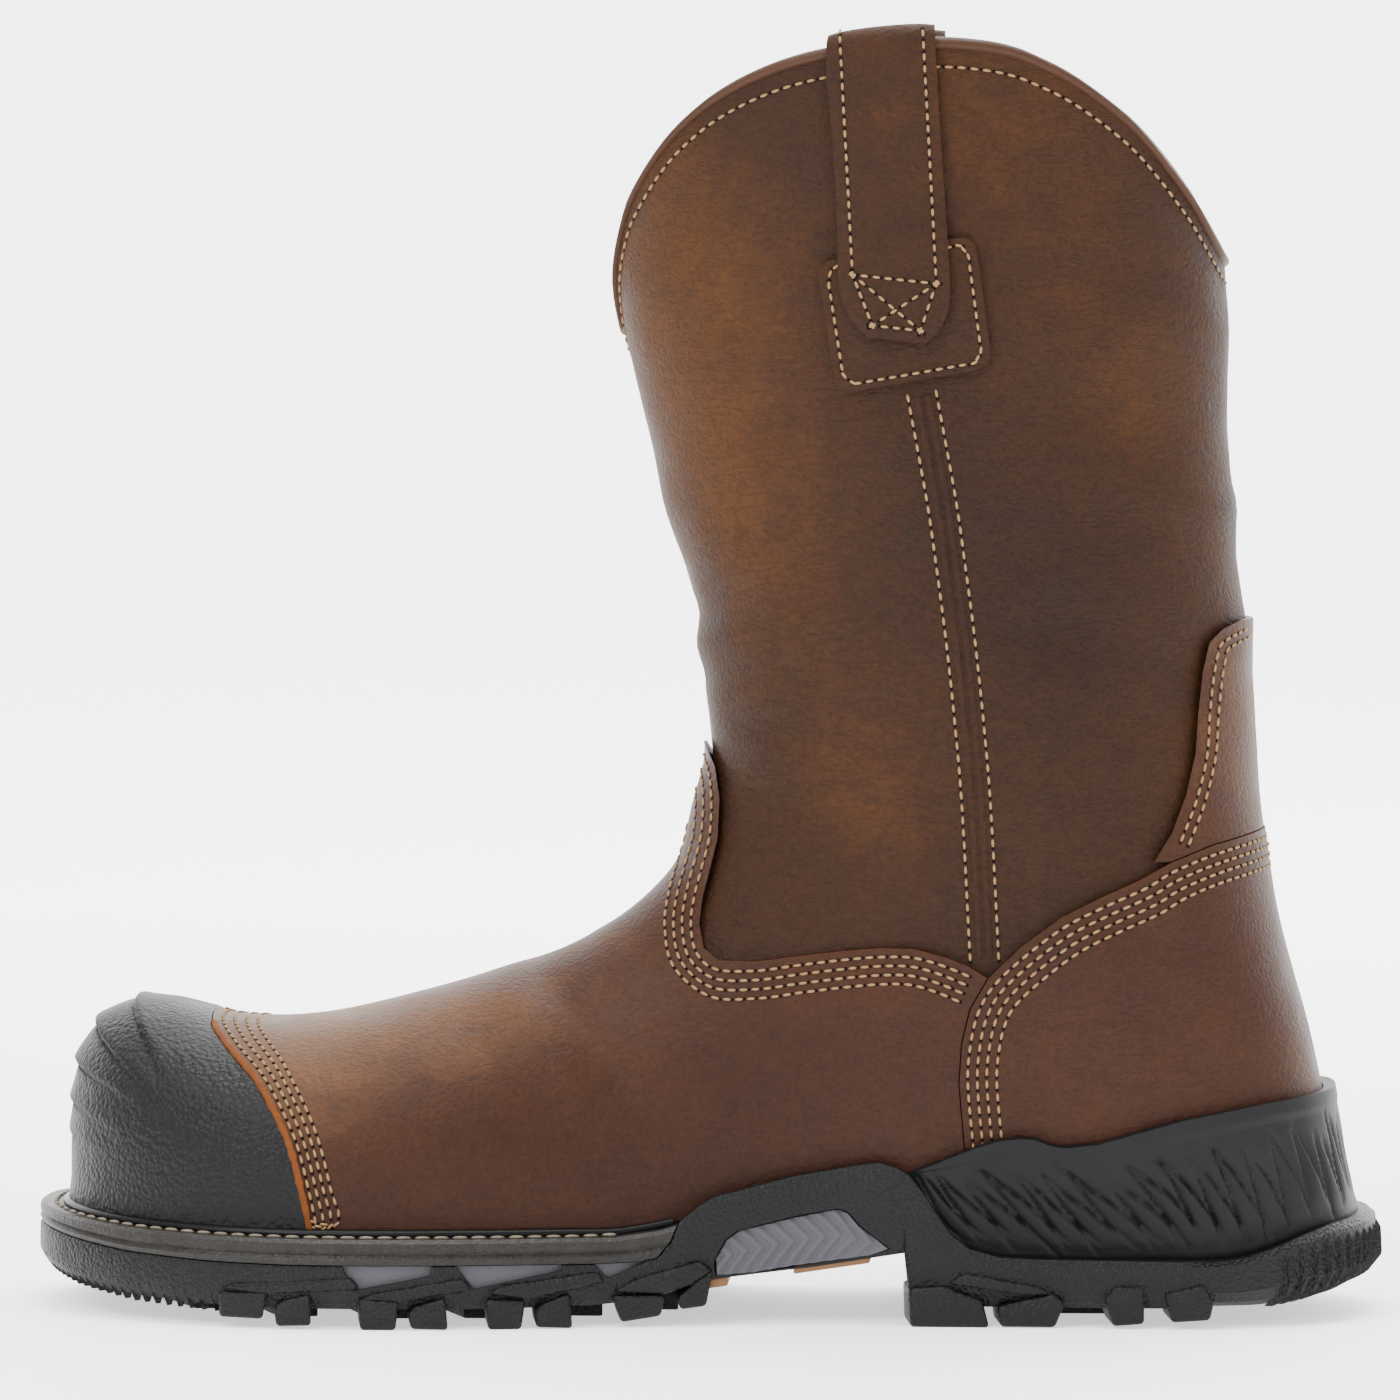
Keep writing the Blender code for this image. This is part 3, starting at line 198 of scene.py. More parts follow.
LUG_BARS = (
    ((0.8480, 9.0), (0.8370, 10.2), (0.7500, 12.0), (0.7440, 9.6), (0.8110, 7.9)),
    ((0.7440, 7.0), (0.7340, 8.4), (0.6680, 11.9), (0.6620, 9.4), (0.7140, 6.4)),
    ((0.6520, 8.2), (0.6380, 10.2), (0.5700, 13.0), (0.5660, 10.6), (0.6210, 6.8)),
    ((0.5600, 8.2), (0.5420, 11.4), (0.4960, 15.2), (0.4880, 12.8), (0.5030, 9.6),
     (0.5230, 7.6)),
    ((0.3160, 10.0), (0.3040, 12.6), (0.2500, 9.6), (0.2360, 7.6), (0.2600, 7.6)),
)
# Levels of a tooth: share of the sole's side, share of the foot's inset, proud in millimetres,
# relative width
TOE_TOOTH = ((-0.17, 1.20, 0.0, 0.20), (0.02, 0.95, 0.7, 1.0), (0.30, 0.10, 0.2, 1.0))
HEEL_TOOTH = ((-0.07, 1.35, -0.2, 1.0), (0.00, 1.00, 1.1, 1.0), (0.14, 0.37, 1.3, 1.0),
              (0.35, 0.02, 1.3, 1.0), (0.70, 0.02, 1.0, 1.0), (0.86, 0.04, -0.4, 0.8))
MIDDLE_LUGS = (
    (0.880, 0.075), (0.815, 0.085), (0.745, 0.090), (0.675, 0.090), (0.605, 0.085),
    (0.545, 0.060),
)
# Strap from patch to collar: along, rise, half width
STRAP_LINE = (
    (0.3530, 0.765, 0.26), (0.3535, 0.777, 0.40), (0.3545, 0.800, 0.50), (0.3560, 0.845, 0.50),
    (0.3580, 0.875, 0.50), (0.3610, 0.925, 0.50), (0.3650, 0.962, 0.50),
)
# Moulded folds on the toe cap: along and rise of the start, slope, length in metres, depth in
# millimetres
CAP_FOLDS = (
    (0.928, 0.2330, -1.35, 0.0130, 1.6), (0.953, 0.2170, -0.86, 0.0200, 1.9),
    (0.966, 0.1890, -0.45, 0.0210, 1.7), (0.971, 0.1610, -0.45, 0.0170, 1.3),
    (0.972, 0.1350, -0.35, 0.0120, 0.8),
)
# Side seam down the shaft: along, rise
SEAM_LINE = (
    (0.3350, 0.722), (0.3215, 0.644), (0.3149, 0.596), (0.3070, 0.532), (0.3004, 0.4665),
    (0.2953, 0.402), (0.2895, 0.288),
)
# Soft troughs (-) and ridges (+) of the leather, in the boot's own sizes: along, rise, tilt in
# degrees, length and width as shares of the boot's height, depth in millimetres
CREASES = (
    (0.520, 0.545, -28, 0.075, 0.012, -1.5), (0.515, 0.520, -20, 0.060, 0.014, 0.9),
    (0.505, 0.585, -35, 0.070, 0.014, -0.8), (0.490, 0.500, -12, 0.080, 0.012, -0.8),
    (0.455, 0.560, -18, 0.110, 0.016, -0.6), (0.440, 0.460, 8, 0.090, 0.014, -0.6),
    (0.420, 0.390, 14, 0.070, 0.012, -0.7), (0.470, 0.420, 30, 0.060, 0.012, -0.8),
    (0.130, 0.640, 12, 0.090, 0.014, 0.9), (0.125, 0.600, 16, 0.100, 0.014, -0.9),
    (0.150, 0.560, 14, 0.110, 0.014, 0.6), (0.180, 0.520, 12, 0.120, 0.014, -0.7),
    (0.220, 0.480, 10, 0.110, 0.013, -0.5), (0.160, 0.700, 8, 0.100, 0.016, -0.5),
    (0.590, 0.225, 52, 0.075, 0.011, -0.7), (0.570, 0.215, 55, 0.070, 0.012, -0.6),
    (0.612, 0.210, 48, 0.060, 0.012, 0.5), (0.640, 0.190, 42, 0.060, 0.012, -0.4),
    (0.540, 0.250, 50, 0.060, 0.012, 0.4), (0.480, 0.700, -10, 0.120, 0.030, -0.8),
    (0.230, 0.780, 6, 0.140, 0.034, 0.8), (0.250, 0.350, 25, 0.070, 0.014, -0.5),
    (0.350, 0.420, 5, 0.080, 0.016, 0.4), (0.160, 0.300, 20, 0.080, 0.016, -0.4),
)
# Patches of golden pull-up leather (+) and of darker leather (-): along, rise, reach, strength.
# The dark patches at rise 0.25 and below, just above the welt, are painted shade.
TONES = (
    (0.500, 0.800, 0.110, 0.9), (0.470, 0.640, 0.100, 0.7), (0.430, 0.470, 0.090, 0.6),
    (0.330, 0.560, 0.080, 0.3), (0.180, 0.700, 0.110, 0.5), (0.130, 0.440, 0.090, 0.5),
    (0.250, 0.900, 0.080, 0.4), (0.740, 0.240, 0.120, 1.0), (0.820, 0.220, 0.080, 0.8),
    (0.620, 0.250, 0.090, 0.5), (0.350, 0.245, 0.080, 0.3), (0.360, 0.760, 0.080, -0.6),
    (0.300, 0.640, 0.100, -0.7), (0.220, 0.500, 0.120, -0.6), (0.400, 0.560, 0.080, -0.4),
    (0.560, 0.120, 0.160, -0.7), (0.700, 0.110, 0.120, -0.8), (0.400, 0.180, 0.110, -0.6),
    (0.160, 0.250, 0.110, -0.5), (0.440, 0.880, 0.070, -0.5),
)


def smooth_rows(table: Sequence[Sequence[float]], place: Array) -> Array:
    """Rows of a table at fractional indices, on Catmull-Rom curves through its rows.

    Args:
        table: Rows of numbers.
        place: Fractional row indices.

    Returns:
        One row for each index.
    """
    rows = np.asarray(table, dtype=float)
    last = len(rows) - 1
    place = np.clip(np.asarray(place, dtype=float), 0.0, last)
    index = np.minimum(place.astype(int), last - 1)
    t = (place - index)[..., None]
    a, b, c, d = (rows[np.clip(index + k, 0, last)] for k in (-1, 0, 1, 2))
    return 0.5 * (2 * b + (c - a) * t + (2 * a - 5 * b + 4 * c - d) * t ** 2
                  + (3 * b - a - 3 * c + d) * t ** 3)


def smooth_values(table: Sequence[Sequence[float]], key: Array) -> Array:
    """Columns after the first, at values of the first column.

    Args:
        table: Rows of numbers whose first column rises.
        key: Values of the first column.

    Returns:
        The other columns at each value.
    """
    keys = [row[0] for row in table]
    index = np.interp(key, keys, range(len(keys)))
    return smooth_rows(table, index)[..., 1:]


def place_object(name: str, data: bpy.types.ID) -> Piece:
    """Put a new object into the scene.

    Args:
        name: Its name.
        data: Its mesh, light or camera.

    Returns:
        The object.
    """
    piece = bpy.data.objects.new(name, data)
    bpy.context.scene.collection.objects.link(piece)
    return piece


def shade(mesh: bpy.types.Mesh, sharp: float) -> None:
    """Shade a mesh smooth but for edges past an angle in degrees."""
    mesh.shade_smooth()
    mesh.set_sharp_from_angle(angle=math.radians(sharp))


def close_up(shape: Shape) -> Shape:
    """Fill a mesh's open ends and turn its faces outward.

    Args:
        shape: The mesh.

    Returns:
        The same mesh.
    """
    bmesh.ops.holes_fill(shape, edges=shape.edges, sides=0)
    bmesh.ops.recalc_face_normals(shape, faces=shape.faces)
    return shape


def new_piece(name: str, shape: Shape, sharp: float = 35.0) -> Piece:
    """Make a smooth-shaded object from a bmesh and free the bmesh.

    Args:
        name: The object's name.
        shape: Its mesh.
        sharp: Angle in degrees past which an edge stays sharp.

    Returns:
        The new object.
    """
    mesh = bpy.data.meshes.new(name)
    shape.to_mesh(mesh)
    shape.free()
    shade(mesh, sharp)
    return place_object(name, mesh)


def sheet_from_grid(points: Array) -> Shape:
    """Lay a grid of faces over a grid of points.

    Args:
        points: Places by row and column.

    Returns:
        A bmesh whose seams and poles are welded.
    """
    rows, columns = points.shape[:2]
    shape = bmesh.new()
    bmesh.ops.create_grid(shape, x_segments=columns - 1, y_segments=rows - 1, size=1.0)
    for vert in shape.verts:
        column = round((vert.co.x + 1) / 2 * (columns - 1))
        row = round((vert.co.y + 1) / 2 * (rows - 1))
        vert.co = points[row, column]
    bmesh.ops.remove_doubles(shape, verts=shape.verts, dist=WELD)
    bmesh.ops.dissolve_degenerate(shape, edges=shape.edges, dist=WELD / 2)
    return shape


def wall_between(front: Array, back: Array, axis: int) -> Shape:
    """Closed wall between two grids of points of the same shape.

    Args:
        front: Points of the outer face.
        back: Points of the inner face.
        axis: Axis along which the two faces are joined at both ends.

    Returns:
        The wall.
    """
    parts = [front, np.flip(back, axis=axis), front.take([0], axis=axis)]
    return close_up(sheet_from_grid(np.concatenate(parts, axis=axis)))


def tube(path: Array, across: Array, up: Array, steps: int) -> Array:
    """Sweep an ellipse along a path.

    Args:
        path: Centres.
        across: First half axis, for each centre or for all.
        up: Second half axis, for each centre or for all.
        steps: Points round the ellipse, the last on the first.

    Returns:
        Points by centre and place round the ellipse.
    """
    turns = np.linspace(0, 2 * math.pi, steps)
    return np.stack([path + math.cos(a) * across + math.sin(a) * up for a in turns], axis=1)


def ribbon(path: Path, profile: Line, fray: tuple[float, float] = (0.0, 0.0)) -> Array:
    """Carry a profile along a path on the leather.

    Args:
        path: Place, outward direction and direction of travel at each point.
        profile: Places across the path and above the leather, in millimetres.
        fray: How much its width varies, in two waves.

    Returns:
        Points by place along the path and place in the profile.
    """
    rows = []
    for index, (spot, normal, ahead) in enumerate(path):
        across = ahead.cross(normal).normalized()
        wide = 1.0 + fray[0] * math.sin(index * 2.3) + fray[1] * math.sin(index * 5.1)
        rows.append([tuple(spot + (across * a * wide + normal * h) * MM) for a, h in profile])
    return np.array(rows)


def combine(target: Piece, tool: Piece, operation: str) -> Piece:
    """Join, cut or intersect one object with another, which is used up.

    Args:
        target: The object that changes.
        tool: The other object.
        operation: UNION, DIFFERENCE or INTERSECT.

    Returns:
        The changed object.
    """
    change = target.modifiers.new(operation.lower(), "BOOLEAN")
    change.object = tool
    change.operation = operation
    change.solver = "EXACT"
    bpy.context.view_layer.update()
    graph = bpy.context.evaluated_depsgraph_get()
    result = bpy.data.meshes.new_from_object(target.evaluated_get(graph))
    target.modifiers.clear()
    target.data = result
    bpy.data.objects.remove(tool)
    return target


def prism(corners: Line, near: float = -CLEAR, far: float = CLEAR) -> Piece:
    """Carry a side-view polygon through the boot.

    Args:
        corners: X and Z of its corners.
        near: Y of its near face.
        far: Y of its far face.

    Returns:
        The closed solid.
    """
    shape = bmesh.new()
    loop = [shape.verts.new((x, near, z)) for x, z in corners]
    face = shape.faces.new(loop)
    swept = bmesh.ops.extrude_face_region(shape, geom=[face])
    moved = [item for item in swept["geom"] if isinstance(item, bmesh.types.BMVert)]
    bmesh.ops.translate(shape, verts=moved, vec=(0.0, far - near, 0.0))
    return new_piece("prism", close_up(shape))


def offset_line(line: Line, distance: float) -> Line:
    """Move a side-view line to the left of its direction.

    Args:
        line: X and Z of its points.
        distance: How far it moves.

    Returns:
        The moved line.
    """
    pts = np.asarray(line)
    step = np.gradient(pts, axis=0)
    step /= np.linalg.norm(step, axis=1, keepdims=True)
    moved = pts + np.stack([-step[:, 1], step[:, 0]], axis=1) * distance
    return [tuple(p) for p in moved]


def rounded(corners: Line, radius: float, steps: int = 5) -> Line:
    """Cut the corners of a polygon by arcs.

    Args:
        corners: X and Z of the corners.
        radius: Length cut from each edge.
        steps: Straight pieces of each arc.

    Returns:
        The rounded polygon.
    """
    found: Line = []
    pts = [np.array(c) for c in corners]
    for before, here, after in zip(pts[-1:] + pts[:-1], pts, pts[1:] + pts[:1]):
        back = here + (before - here) / np.linalg.norm(before - here) * radius
        ahead = here + (after - here) / np.linalg.norm(after - here) * radius
        for i in range(steps + 1):
            t = i / steps
            found.append(tuple((1 - t) ** 2 * back + 2 * t * (1 - t) * here + t ** 2 * ahead))
    return found


def travel(points: Array) -> Array:
    """Length run at each point of a line, whose first columns are its place."""
    steps = np.linalg.norm(np.diff(points[:, :3], axis=0), axis=1)
    return np.concatenate([[0.0], np.cumsum(steps)])


def even(points: Array, count: int) -> Array:
    """Put points at equal steps along a line.

    Args:
        points: Points of the line, whose first columns are its place.
        count: How many points to make.

    Returns:
        The new points.
    """
    run = travel(points)
    marks = np.linspace(0.0, run[-1], count)
    return np.stack([np.interp(marks, run, column) for column in points.T], axis=1)


def resample(line: Line, step: float) -> Array:
    """Put points at equal steps along a smooth curve through a line's points.

    Args:
        line: Points of the line.
        step: Distance between the new points.

    Returns:
        The new points.
    """
    fine = smooth_rows(line, np.linspace(0, len(line) - 1, 24 * len(line)))
    return even(fine, max(2, int(travel(fine)[-1] / step) + 1))


@dataclass
class Sizes:
    """Driving sizes of the boot, in metres."""

    sole_length: float = 0.316
    heel_back: float = 0.0712
    ball_width: float = 0.116
    seat_height: float = 0.035
    toe_round: float = 0.066
    heel_round: float = 0.046
    toe_power: float = 2.4
    heel_power: float = 2.2
    lug_depth: float = 0.0045
    lug_reach: float = 0.016
    rib_proud: float = 0.0013
    boot_height: float = 0.298
    shaft_width: float = 0.092
    wall: float = 0.0022
    vamp_thick: float = 0.0016
    cap_thick: float = 0.0021
    counter_thick: float = 0.0019
    cup_thick: float = 0.0025
    binding_radius: float = 0.0014
    strap_thick: float = 0.0020
    strap_width: float = 0.0246
    welt_width: float = 0.016
    welt_ledge: float = 0.008
    gap: float = 0.0003

    def x(self, along: float) -> float:
        """X of a place along the sole."""
        return self.heel_back - along * self.sole_length

    def along(self, x: Array) -> Array:
        """Share of the sole's length at an X."""
        return (self.heel_back - np.asarray(x)) / self.sole_length

    def side(self, rows: Sequence[Sequence[float]], sole: bool = False) -> Line:
        """X and Z of a side-view line given as shares.

        Args:
            rows: along and rise of each point.
            sole: Whether rise is a share of the seat's height.

        Returns:
            The line in metres.
        """
        unit = self.seat_height if sole else self.boot_height
        return [(self.x(row[0]), row[1] * unit) for row in rows]

    def height(self, table: Sequence[Sequence[float]], x: Array) -> Array:
        """Height of a side-view line of the sole at an X."""
        rows = np.asarray(table)
        return np.interp(self.along(x), rows[:, 0], rows[:, 1]) * self.seat_height

    def plan(self, x: Array, inset: Array = 0.0) -> tuple[Array, Array]:
        """Outer and inner reach in Y of the sole's outline, drawn in by an inset.

        Args:
            x: Places along the boot.
            inset: How far the outline is drawn in.

        Returns:
            Y on the outer side and on the inner side.
        """
        x = np.asarray(x, dtype=float)
        values = smooth_values(PLAN, self.along(x)) * self.ball_width
        centre, half = values[..., 0], values[..., 1]
        toe = np.clip((x - self.x(1.0) - inset) / (self.toe_round - inset), 0.0, 1.0)
        heel = np.clip((self.heel_back - inset - x) / (self.heel_round - inset), 0.0, 1.0)
        ends = (1 - (1 - toe) ** self.toe_power) ** (1 / self.toe_power)
        ends = ends * (1 - (1 - heel) ** self.heel_power) ** (1 / self.heel_power)
        half = (half - inset) * ends
        return centre - half, centre + half

    def level(self, table: Sequence[Sequence[float]], lift: float = 0.0
              ) -> Callable[[Array], Array]:
        """Curve of a side-view line of the sole, raised by a lift."""
        return lambda x: self.height(table, x) + lift

    def under_seat(self, lift: float = 0.0) -> Piece:
        """Make a cutter for all that lies below the edge on which the upper stands.

        Args:
            lift: How far it is raised.

        Returns:
            The cutter.
        """
        line = [(x, z + lift) for x, z in self.side(tuple(reversed(SEAT)), sole=True)]
        line = [(line[0][0] - 0.1, line[0][1])] + line + [(line[-1][0] + 0.1, line[-1][1])]
        return prism(line + [(line[-1][0], -CLEAR), (line[0][0], -CLEAR)])


@dataclass
class Last:
    """The form inside the boot, from which every piece of the upper is drawn."""

    sizes: Sizes
    neck: float = 16.0

    def point(self, place: Array, turn: Array) -> Array:
        """Points of the last.

        Args:
            place: Fractional sections, toe first.
            turn: Turns round the section, 0 at the front, 1 at the back, outer side below 0.

        Returns:
            Places in metres.
        """
        s = self.sizes
        row = smooth_rows(SECTIONS, place)
        turn = (np.asarray(turn) + 1) % 2 - 1
        side = np.where(turn < 0, -1.0, 1.0)
        front = np.stack([s.x(row[..., 0]), row[..., 1] * s.boot_height], axis=-1)
        back = np.stack([s.x(row[..., 2]), row[..., 3] * s.boot_height], axis=-1)
        centre = front + (back - front) * row[..., 4:5]
        lean = np.cos(np.pi * turn)
        spread = np.abs(np.sin(np.pi * turn))
        power = np.where(lean > 0, row[..., 7], row[..., 8])
        tip = np.where(lean[..., None] > 0, front, back)
        spot = centre + (tip - centre) * (np.abs(lean) ** (2 / power))[..., None]
        outer, inner = s.plan(centre[..., 0], s.welt_ledge + s.vamp_thick + s.gap)
        hold = row[..., 6]
        half = hold * (inner - outer) / 2 + (1 - hold) * row[..., 5] * s.shaft_width / 2
        y = hold * (outer + inner) / 2 + side * half * spread ** (2 / power)
        return np.stack([spot[..., 0], y, spot[..., 1]], axis=-1)

    def edge(self, turn: Array) -> Array:
        """Fractional section at which the last reaches the collar's edge.

        Args:
            turn: Turns round the last.

        Returns:
            A section for each turn.
        """
        s = self.sizes
        binding = 2 * s.binding_radius + s.gap
        around = np.abs((np.asarray(turn) + 1) % 2 - 1)
        goal = smooth_values(COLLAR, around)[..., 0] * s.boot_height - binding
        low = np.full(goal.shape, self.neck)
        high = np.full(goal.shape, len(SECTIONS) - 1.0)
        for _ in range(30):
            middle = (low + high) / 2
            under = self.point(middle, turn)[..., 2] < goal
            low = np.where(under, middle, low)
            high = np.where(under, high, middle)
        return low

    def outward(self, grid: Array, closed: bool) -> Array:
        """Outward directions of a grid of points on the last.

        Args:
            grid: Points by row and column.
            closed: Whether the last column repeats the first.

        Returns:
            A unit direction for each point.
        """
        down = np.gradient(grid, axis=0)
        if closed:
            ring = grid[:, :-1]
            across = np.roll(ring, -1, axis=1) - np.roll(ring, 1, axis=1)
            across = np.concatenate([across, across[:, :1]], axis=1)
        else:
            across = np.gradient(grid, axis=1)
        out = np.cross(down, across)
        size = np.linalg.norm(out, axis=2, keepdims=True)
        out = np.where(size > 1e-12, out / np.maximum(size, 1e-12), (-1.0, 0.0, 0.0))
        middle = grid[grid.shape[0] // 2]
        away = middle - np.array([middle[:, 0].mean(), 0.0, middle[:, 2].mean()])
        side = out[grid.shape[0] // 2][:, 1] * middle[:, 1]
        if side.sum() < 0 or (abs(side.sum()) < 1e-9 and (away * out[0]).sum() < 0):
            out = -out
        return out


def relief(sizes: Sizes, grid: Array) -> Array:
    """Height of the leather's creases and soft waves at points of the upper.

    Args:
        sizes: The boot's sizes.
        grid: Points of the upper.

    Returns:
        Heights in metres.
    """
    x, y, z = grid[..., 0], grid[..., 1], grid[..., 2]
    total = np.zeros(x.shape)
    for index, (along, rise, tilt, length, width, depth) in enumerate(CREASES):
        side = 1.0 if index % 3 else 0.55
        fade = np.where(y < 0, side, 1.5 - side)
        ahead = -(x - sizes.x(along))
        up = z - rise * sizes.boot_height
        angle = math.radians(tilt)
        bend = 0.10 * np.sin(ahead * 90 + index)
        run = ahead * math.cos(angle) + up * math.sin(angle)
        off = up * math.cos(angle) - ahead * math.sin(angle) + bend * width * sizes.boot_height
        shape = np.exp(-(off / (width * sizes.boot_height)) ** 2)
        shape = shape * np.exp(-(run / (length * sizes.boot_height)) ** 4)
        total += depth * MM * fade * shape
    wave = (np.sin(x * 61 + z * 43 + 1.3) * np.sin(z * 71 - x * 23 + y * 31)
            + 0.5 * np.sin(x * 133 - z * 97 + 2.1) * np.sin(z * 151 + y * 87))
    high = np.clip((z - 0.075) / 0.05, 0.25, 1.0)
    return total + 0.00035 * wave * high


class Slot(Enum):
    """Material slots of the record."""

    SHAFT = "shaft_leather"
    VAMP = "vamp_leather"
    BINDING = "binding_leather"
    TOE = "toe_rubber"
    WELT = "welt_rubber"
    GREY = "grey_foam"
    SOLE = "sole_rubber"
    CUP = "cup_rubber"
    INSOLE = "insole_fabric"


Colour = tuple[float, float, float]


def link(tree: Tree, start: Socket,
         end: Socket) -> None:
    """Join two sockets."""
    tree.links.new(start, end)


def group_with(name: str, inputs: dict[str, float], outputs: dict[str, str]
               ) -> tuple[Tree, Node, Node]:
    """Start a shader node group.

    Args:
        name: The group's name.
        inputs: Name and default of each number that it takes.
        outputs: Name and socket type of each thing that it gives.

    Returns:
        The group, its input node and its output node.
    """
    tree = bpy.data.node_groups.new(name, "ShaderNodeTree")
    for key, value in inputs.items():
        socket = tree.interface.new_socket(key, in_out="INPUT", socket_type="NodeSocketFloat")
        socket.default_value = value
    for key, kind in outputs.items():
        tree.interface.new_socket(key, in_out="OUTPUT", socket_type=kind)
    return tree, tree.nodes.new("NodeGroupInput"), tree.nodes.new("NodeGroupOutput")


def noise(tree: Tree, scale: Optional[float], detail: float = 2.0,
          stretch: tuple[float, float, float] = (1.0, 1.0, 1.0)) -> Node:
    """Noise on Object coordinates.

    Args:
        tree: Where it goes.
        scale: Its scale, or None where a link sets it.
        detail: Its detail.
        stretch: Scale of the coordinates along each axis.

    Returns:
        The noise node.
    """
    coords = tree.nodes.new("ShaderNodeTexCoord")
    mapping = tree.nodes.new("ShaderNodeMapping")
    mapping.inputs["Scale"].default_value = stretch
    link(tree, coords.outputs["Object"], mapping.inputs["Vector"])
    node = tree.nodes.new("ShaderNodeTexNoise")
    node.inputs["Detail"].default_value = detail
    if scale is not None:
        node.inputs["Scale"].default_value = scale
    link(tree, mapping.outputs["Vector"], node.inputs["Vector"])
    return node


def maths(tree: Tree, operation: str, *values: object) -> Socket:
    """Work out a number from sockets and constants.

    Args:
        tree: Where it goes.
        operation: The Math node's operation.
        values: Sockets or numbers.

    Returns:
        The result's socket.
    """
    node = tree.nodes.new("ShaderNodeMath")
    node.operation = operation
    for index, value in enumerate(values):
        if isinstance(value, Socket):
            link(tree, value, node.inputs[index])
        else:
            node.inputs[index].default_value = value
    return node.outputs["Value"]


def build_grain_group() -> Tree:
    """Height of leather grain: pores, fine wrinkles that run round the shaft, and pulls."""
    tree, given, result = group_with(
        "leather_grain", {"Pore Scale": 900.0, "Wrinkle": 1.0}, {"Height": "NodeSocketFloat"})
    coords = tree.nodes.new("ShaderNodeTexCoord")
    cells = tree.nodes.new("ShaderNodeTexVoronoi")
    link(tree, coords.outputs["Object"], cells.inputs["Vector"])
    link(tree, given.outputs["Pore Scale"], cells.inputs["Scale"])
    wrinkle = noise(tree, 210.0, 3.0, (0.8, 0.8, 2.2))
    wrinkle.inputs["Distortion"].default_value = 0.4
    folded = maths(tree, "ABSOLUTE", maths(tree, "SUBTRACT", wrinkle.outputs["Fac"], 0.5))
    lines = maths(tree, "MULTIPLY", maths(tree, "MINIMUM", folded, 0.05), 9.0)
    fine = noise(tree, 700.0, 1.0)
    height = maths(tree, "MULTIPLY", cells.outputs["Distance"], 0.35)
    height = maths(tree, "ADD", height, maths(tree, "MULTIPLY", fine.outputs["Fac"], 0.30))
    lines = maths(tree, "MULTIPLY", lines, given.outputs["Wrinkle"])
    link(tree, maths(tree, "ADD", height, lines), result.inputs["Height"])
    return tree


def build_pebble_group() -> Tree:
    """Height of the moulded pebble on rubber."""
    tree, given, result = group_with(
        "rubber_pebble", {"Scale": 900.0}, {"Height": "NodeSocketFloat"})
    coords = tree.nodes.new("ShaderNodeTexCoord")
    cells = tree.nodes.new("ShaderNodeTexVoronoi")
    link(tree, coords.outputs["Object"], cells.inputs["Vector"])
    link(tree, given.outputs["Scale"], cells.inputs["Scale"])
    grit = noise(tree, 1500.0, 0.0)
    height = maths(tree, "SUBTRACT", 1.0, cells.outputs["Distance"])
    height = maths(tree, "ADD", height, maths(tree, "MULTIPLY", grit.outputs["Fac"], 0.4))
    link(tree, height, result.inputs["Height"])
    return tree


@dataclass(frozen=True)
class Finish:
    """A plain finish with bump, mottled colour and uneven gloss."""

    name: str
    colour: Colour
    mottle: Colour
    roughness: float = 0.55
    spread: float = 0.10
    mottle_scale: float = 40.0
    bump_scale: float = 900.0
    bump: float = 0.25
    bump_depth: float = 0.0003
    specular: float = 0.45
    coat: float = 0.0

    def start(self) -> tuple[Material, Tree, Node]:
        """Make the material and its surface shader."""
        material = bpy.data.materials.new(self.name)
        material.use_nodes = True
        tree = material.node_tree
        surface = tree.nodes["Principled BSDF"]
        surface.inputs["Specular IOR Level"].default_value = self.specular
        surface.inputs["Coat Weight"].default_value = self.coat
        surface.inputs["Coat Roughness"].default_value = 0.35
        return material, tree, surface

    def dress_roughness(self, tree: Tree, surface: Node) -> None:
        """Vary the gloss over the surface.

        Args:
            tree: The material's nodes.
            surface: Its surface shader.
        """
        patches = noise(tree, self.mottle_scale * 3, 1.0)
        low = maths(tree, "MULTIPLY", patches.outputs["Fac"], 2 * self.spread)
        link(tree, maths(tree, "ADD", low, self.roughness - self.spread),
             surface.inputs["Roughness"])

    def dress_bump(self, tree: Tree, surface: Node,
                   group: Tree, values: dict[str, float]) -> Socket:
        """Raise the surface by a height group.

        Args:
            tree: The material's nodes.
            surface: Its surface shader.
            group: The group that gives the height.
            values: The group's settings.

        Returns:
            The height.
        """
        relief_node = tree.nodes.new("ShaderNodeGroup")
        relief_node.node_tree = group
        for key, value in values.items():
            relief_node.inputs[key].default_value = value
        bump = tree.nodes.new("ShaderNodeBump")
        bump.inputs["Strength"].default_value = self.bump
        bump.inputs["Distance"].default_value = self.bump_depth
        link(tree, relief_node.outputs["Height"], bump.inputs["Height"])
        link(tree, bump.outputs["Normal"], surface.inputs["Normal"])
        return relief_node.outputs["Height"]

    def material(self, groups: dict[str, Tree]) -> Material:
        """Build the material.

        Args:
            groups: The shared node groups.

        Returns:
            The finished material.
        """
        material, tree, surface = self.start()
        blend = tree.nodes.new("ShaderNodeMix")
        blend.data_type = "RGBA"
        blend.inputs[6].default_value = (*self.colour, 1.0)
        blend.inputs[7].default_value = (*self.mottle, 1.0)
        link(tree, noise(tree, self.mottle_scale, 2.0).outputs["Fac"], blend.inputs[0])
        link(tree, blend.outputs[2], surface.inputs["Base Color"])
        self.dress_roughness(tree, surface)
        self.dress_bump(tree, surface, groups["pebble"], {"Scale": self.bump_scale})
        return material


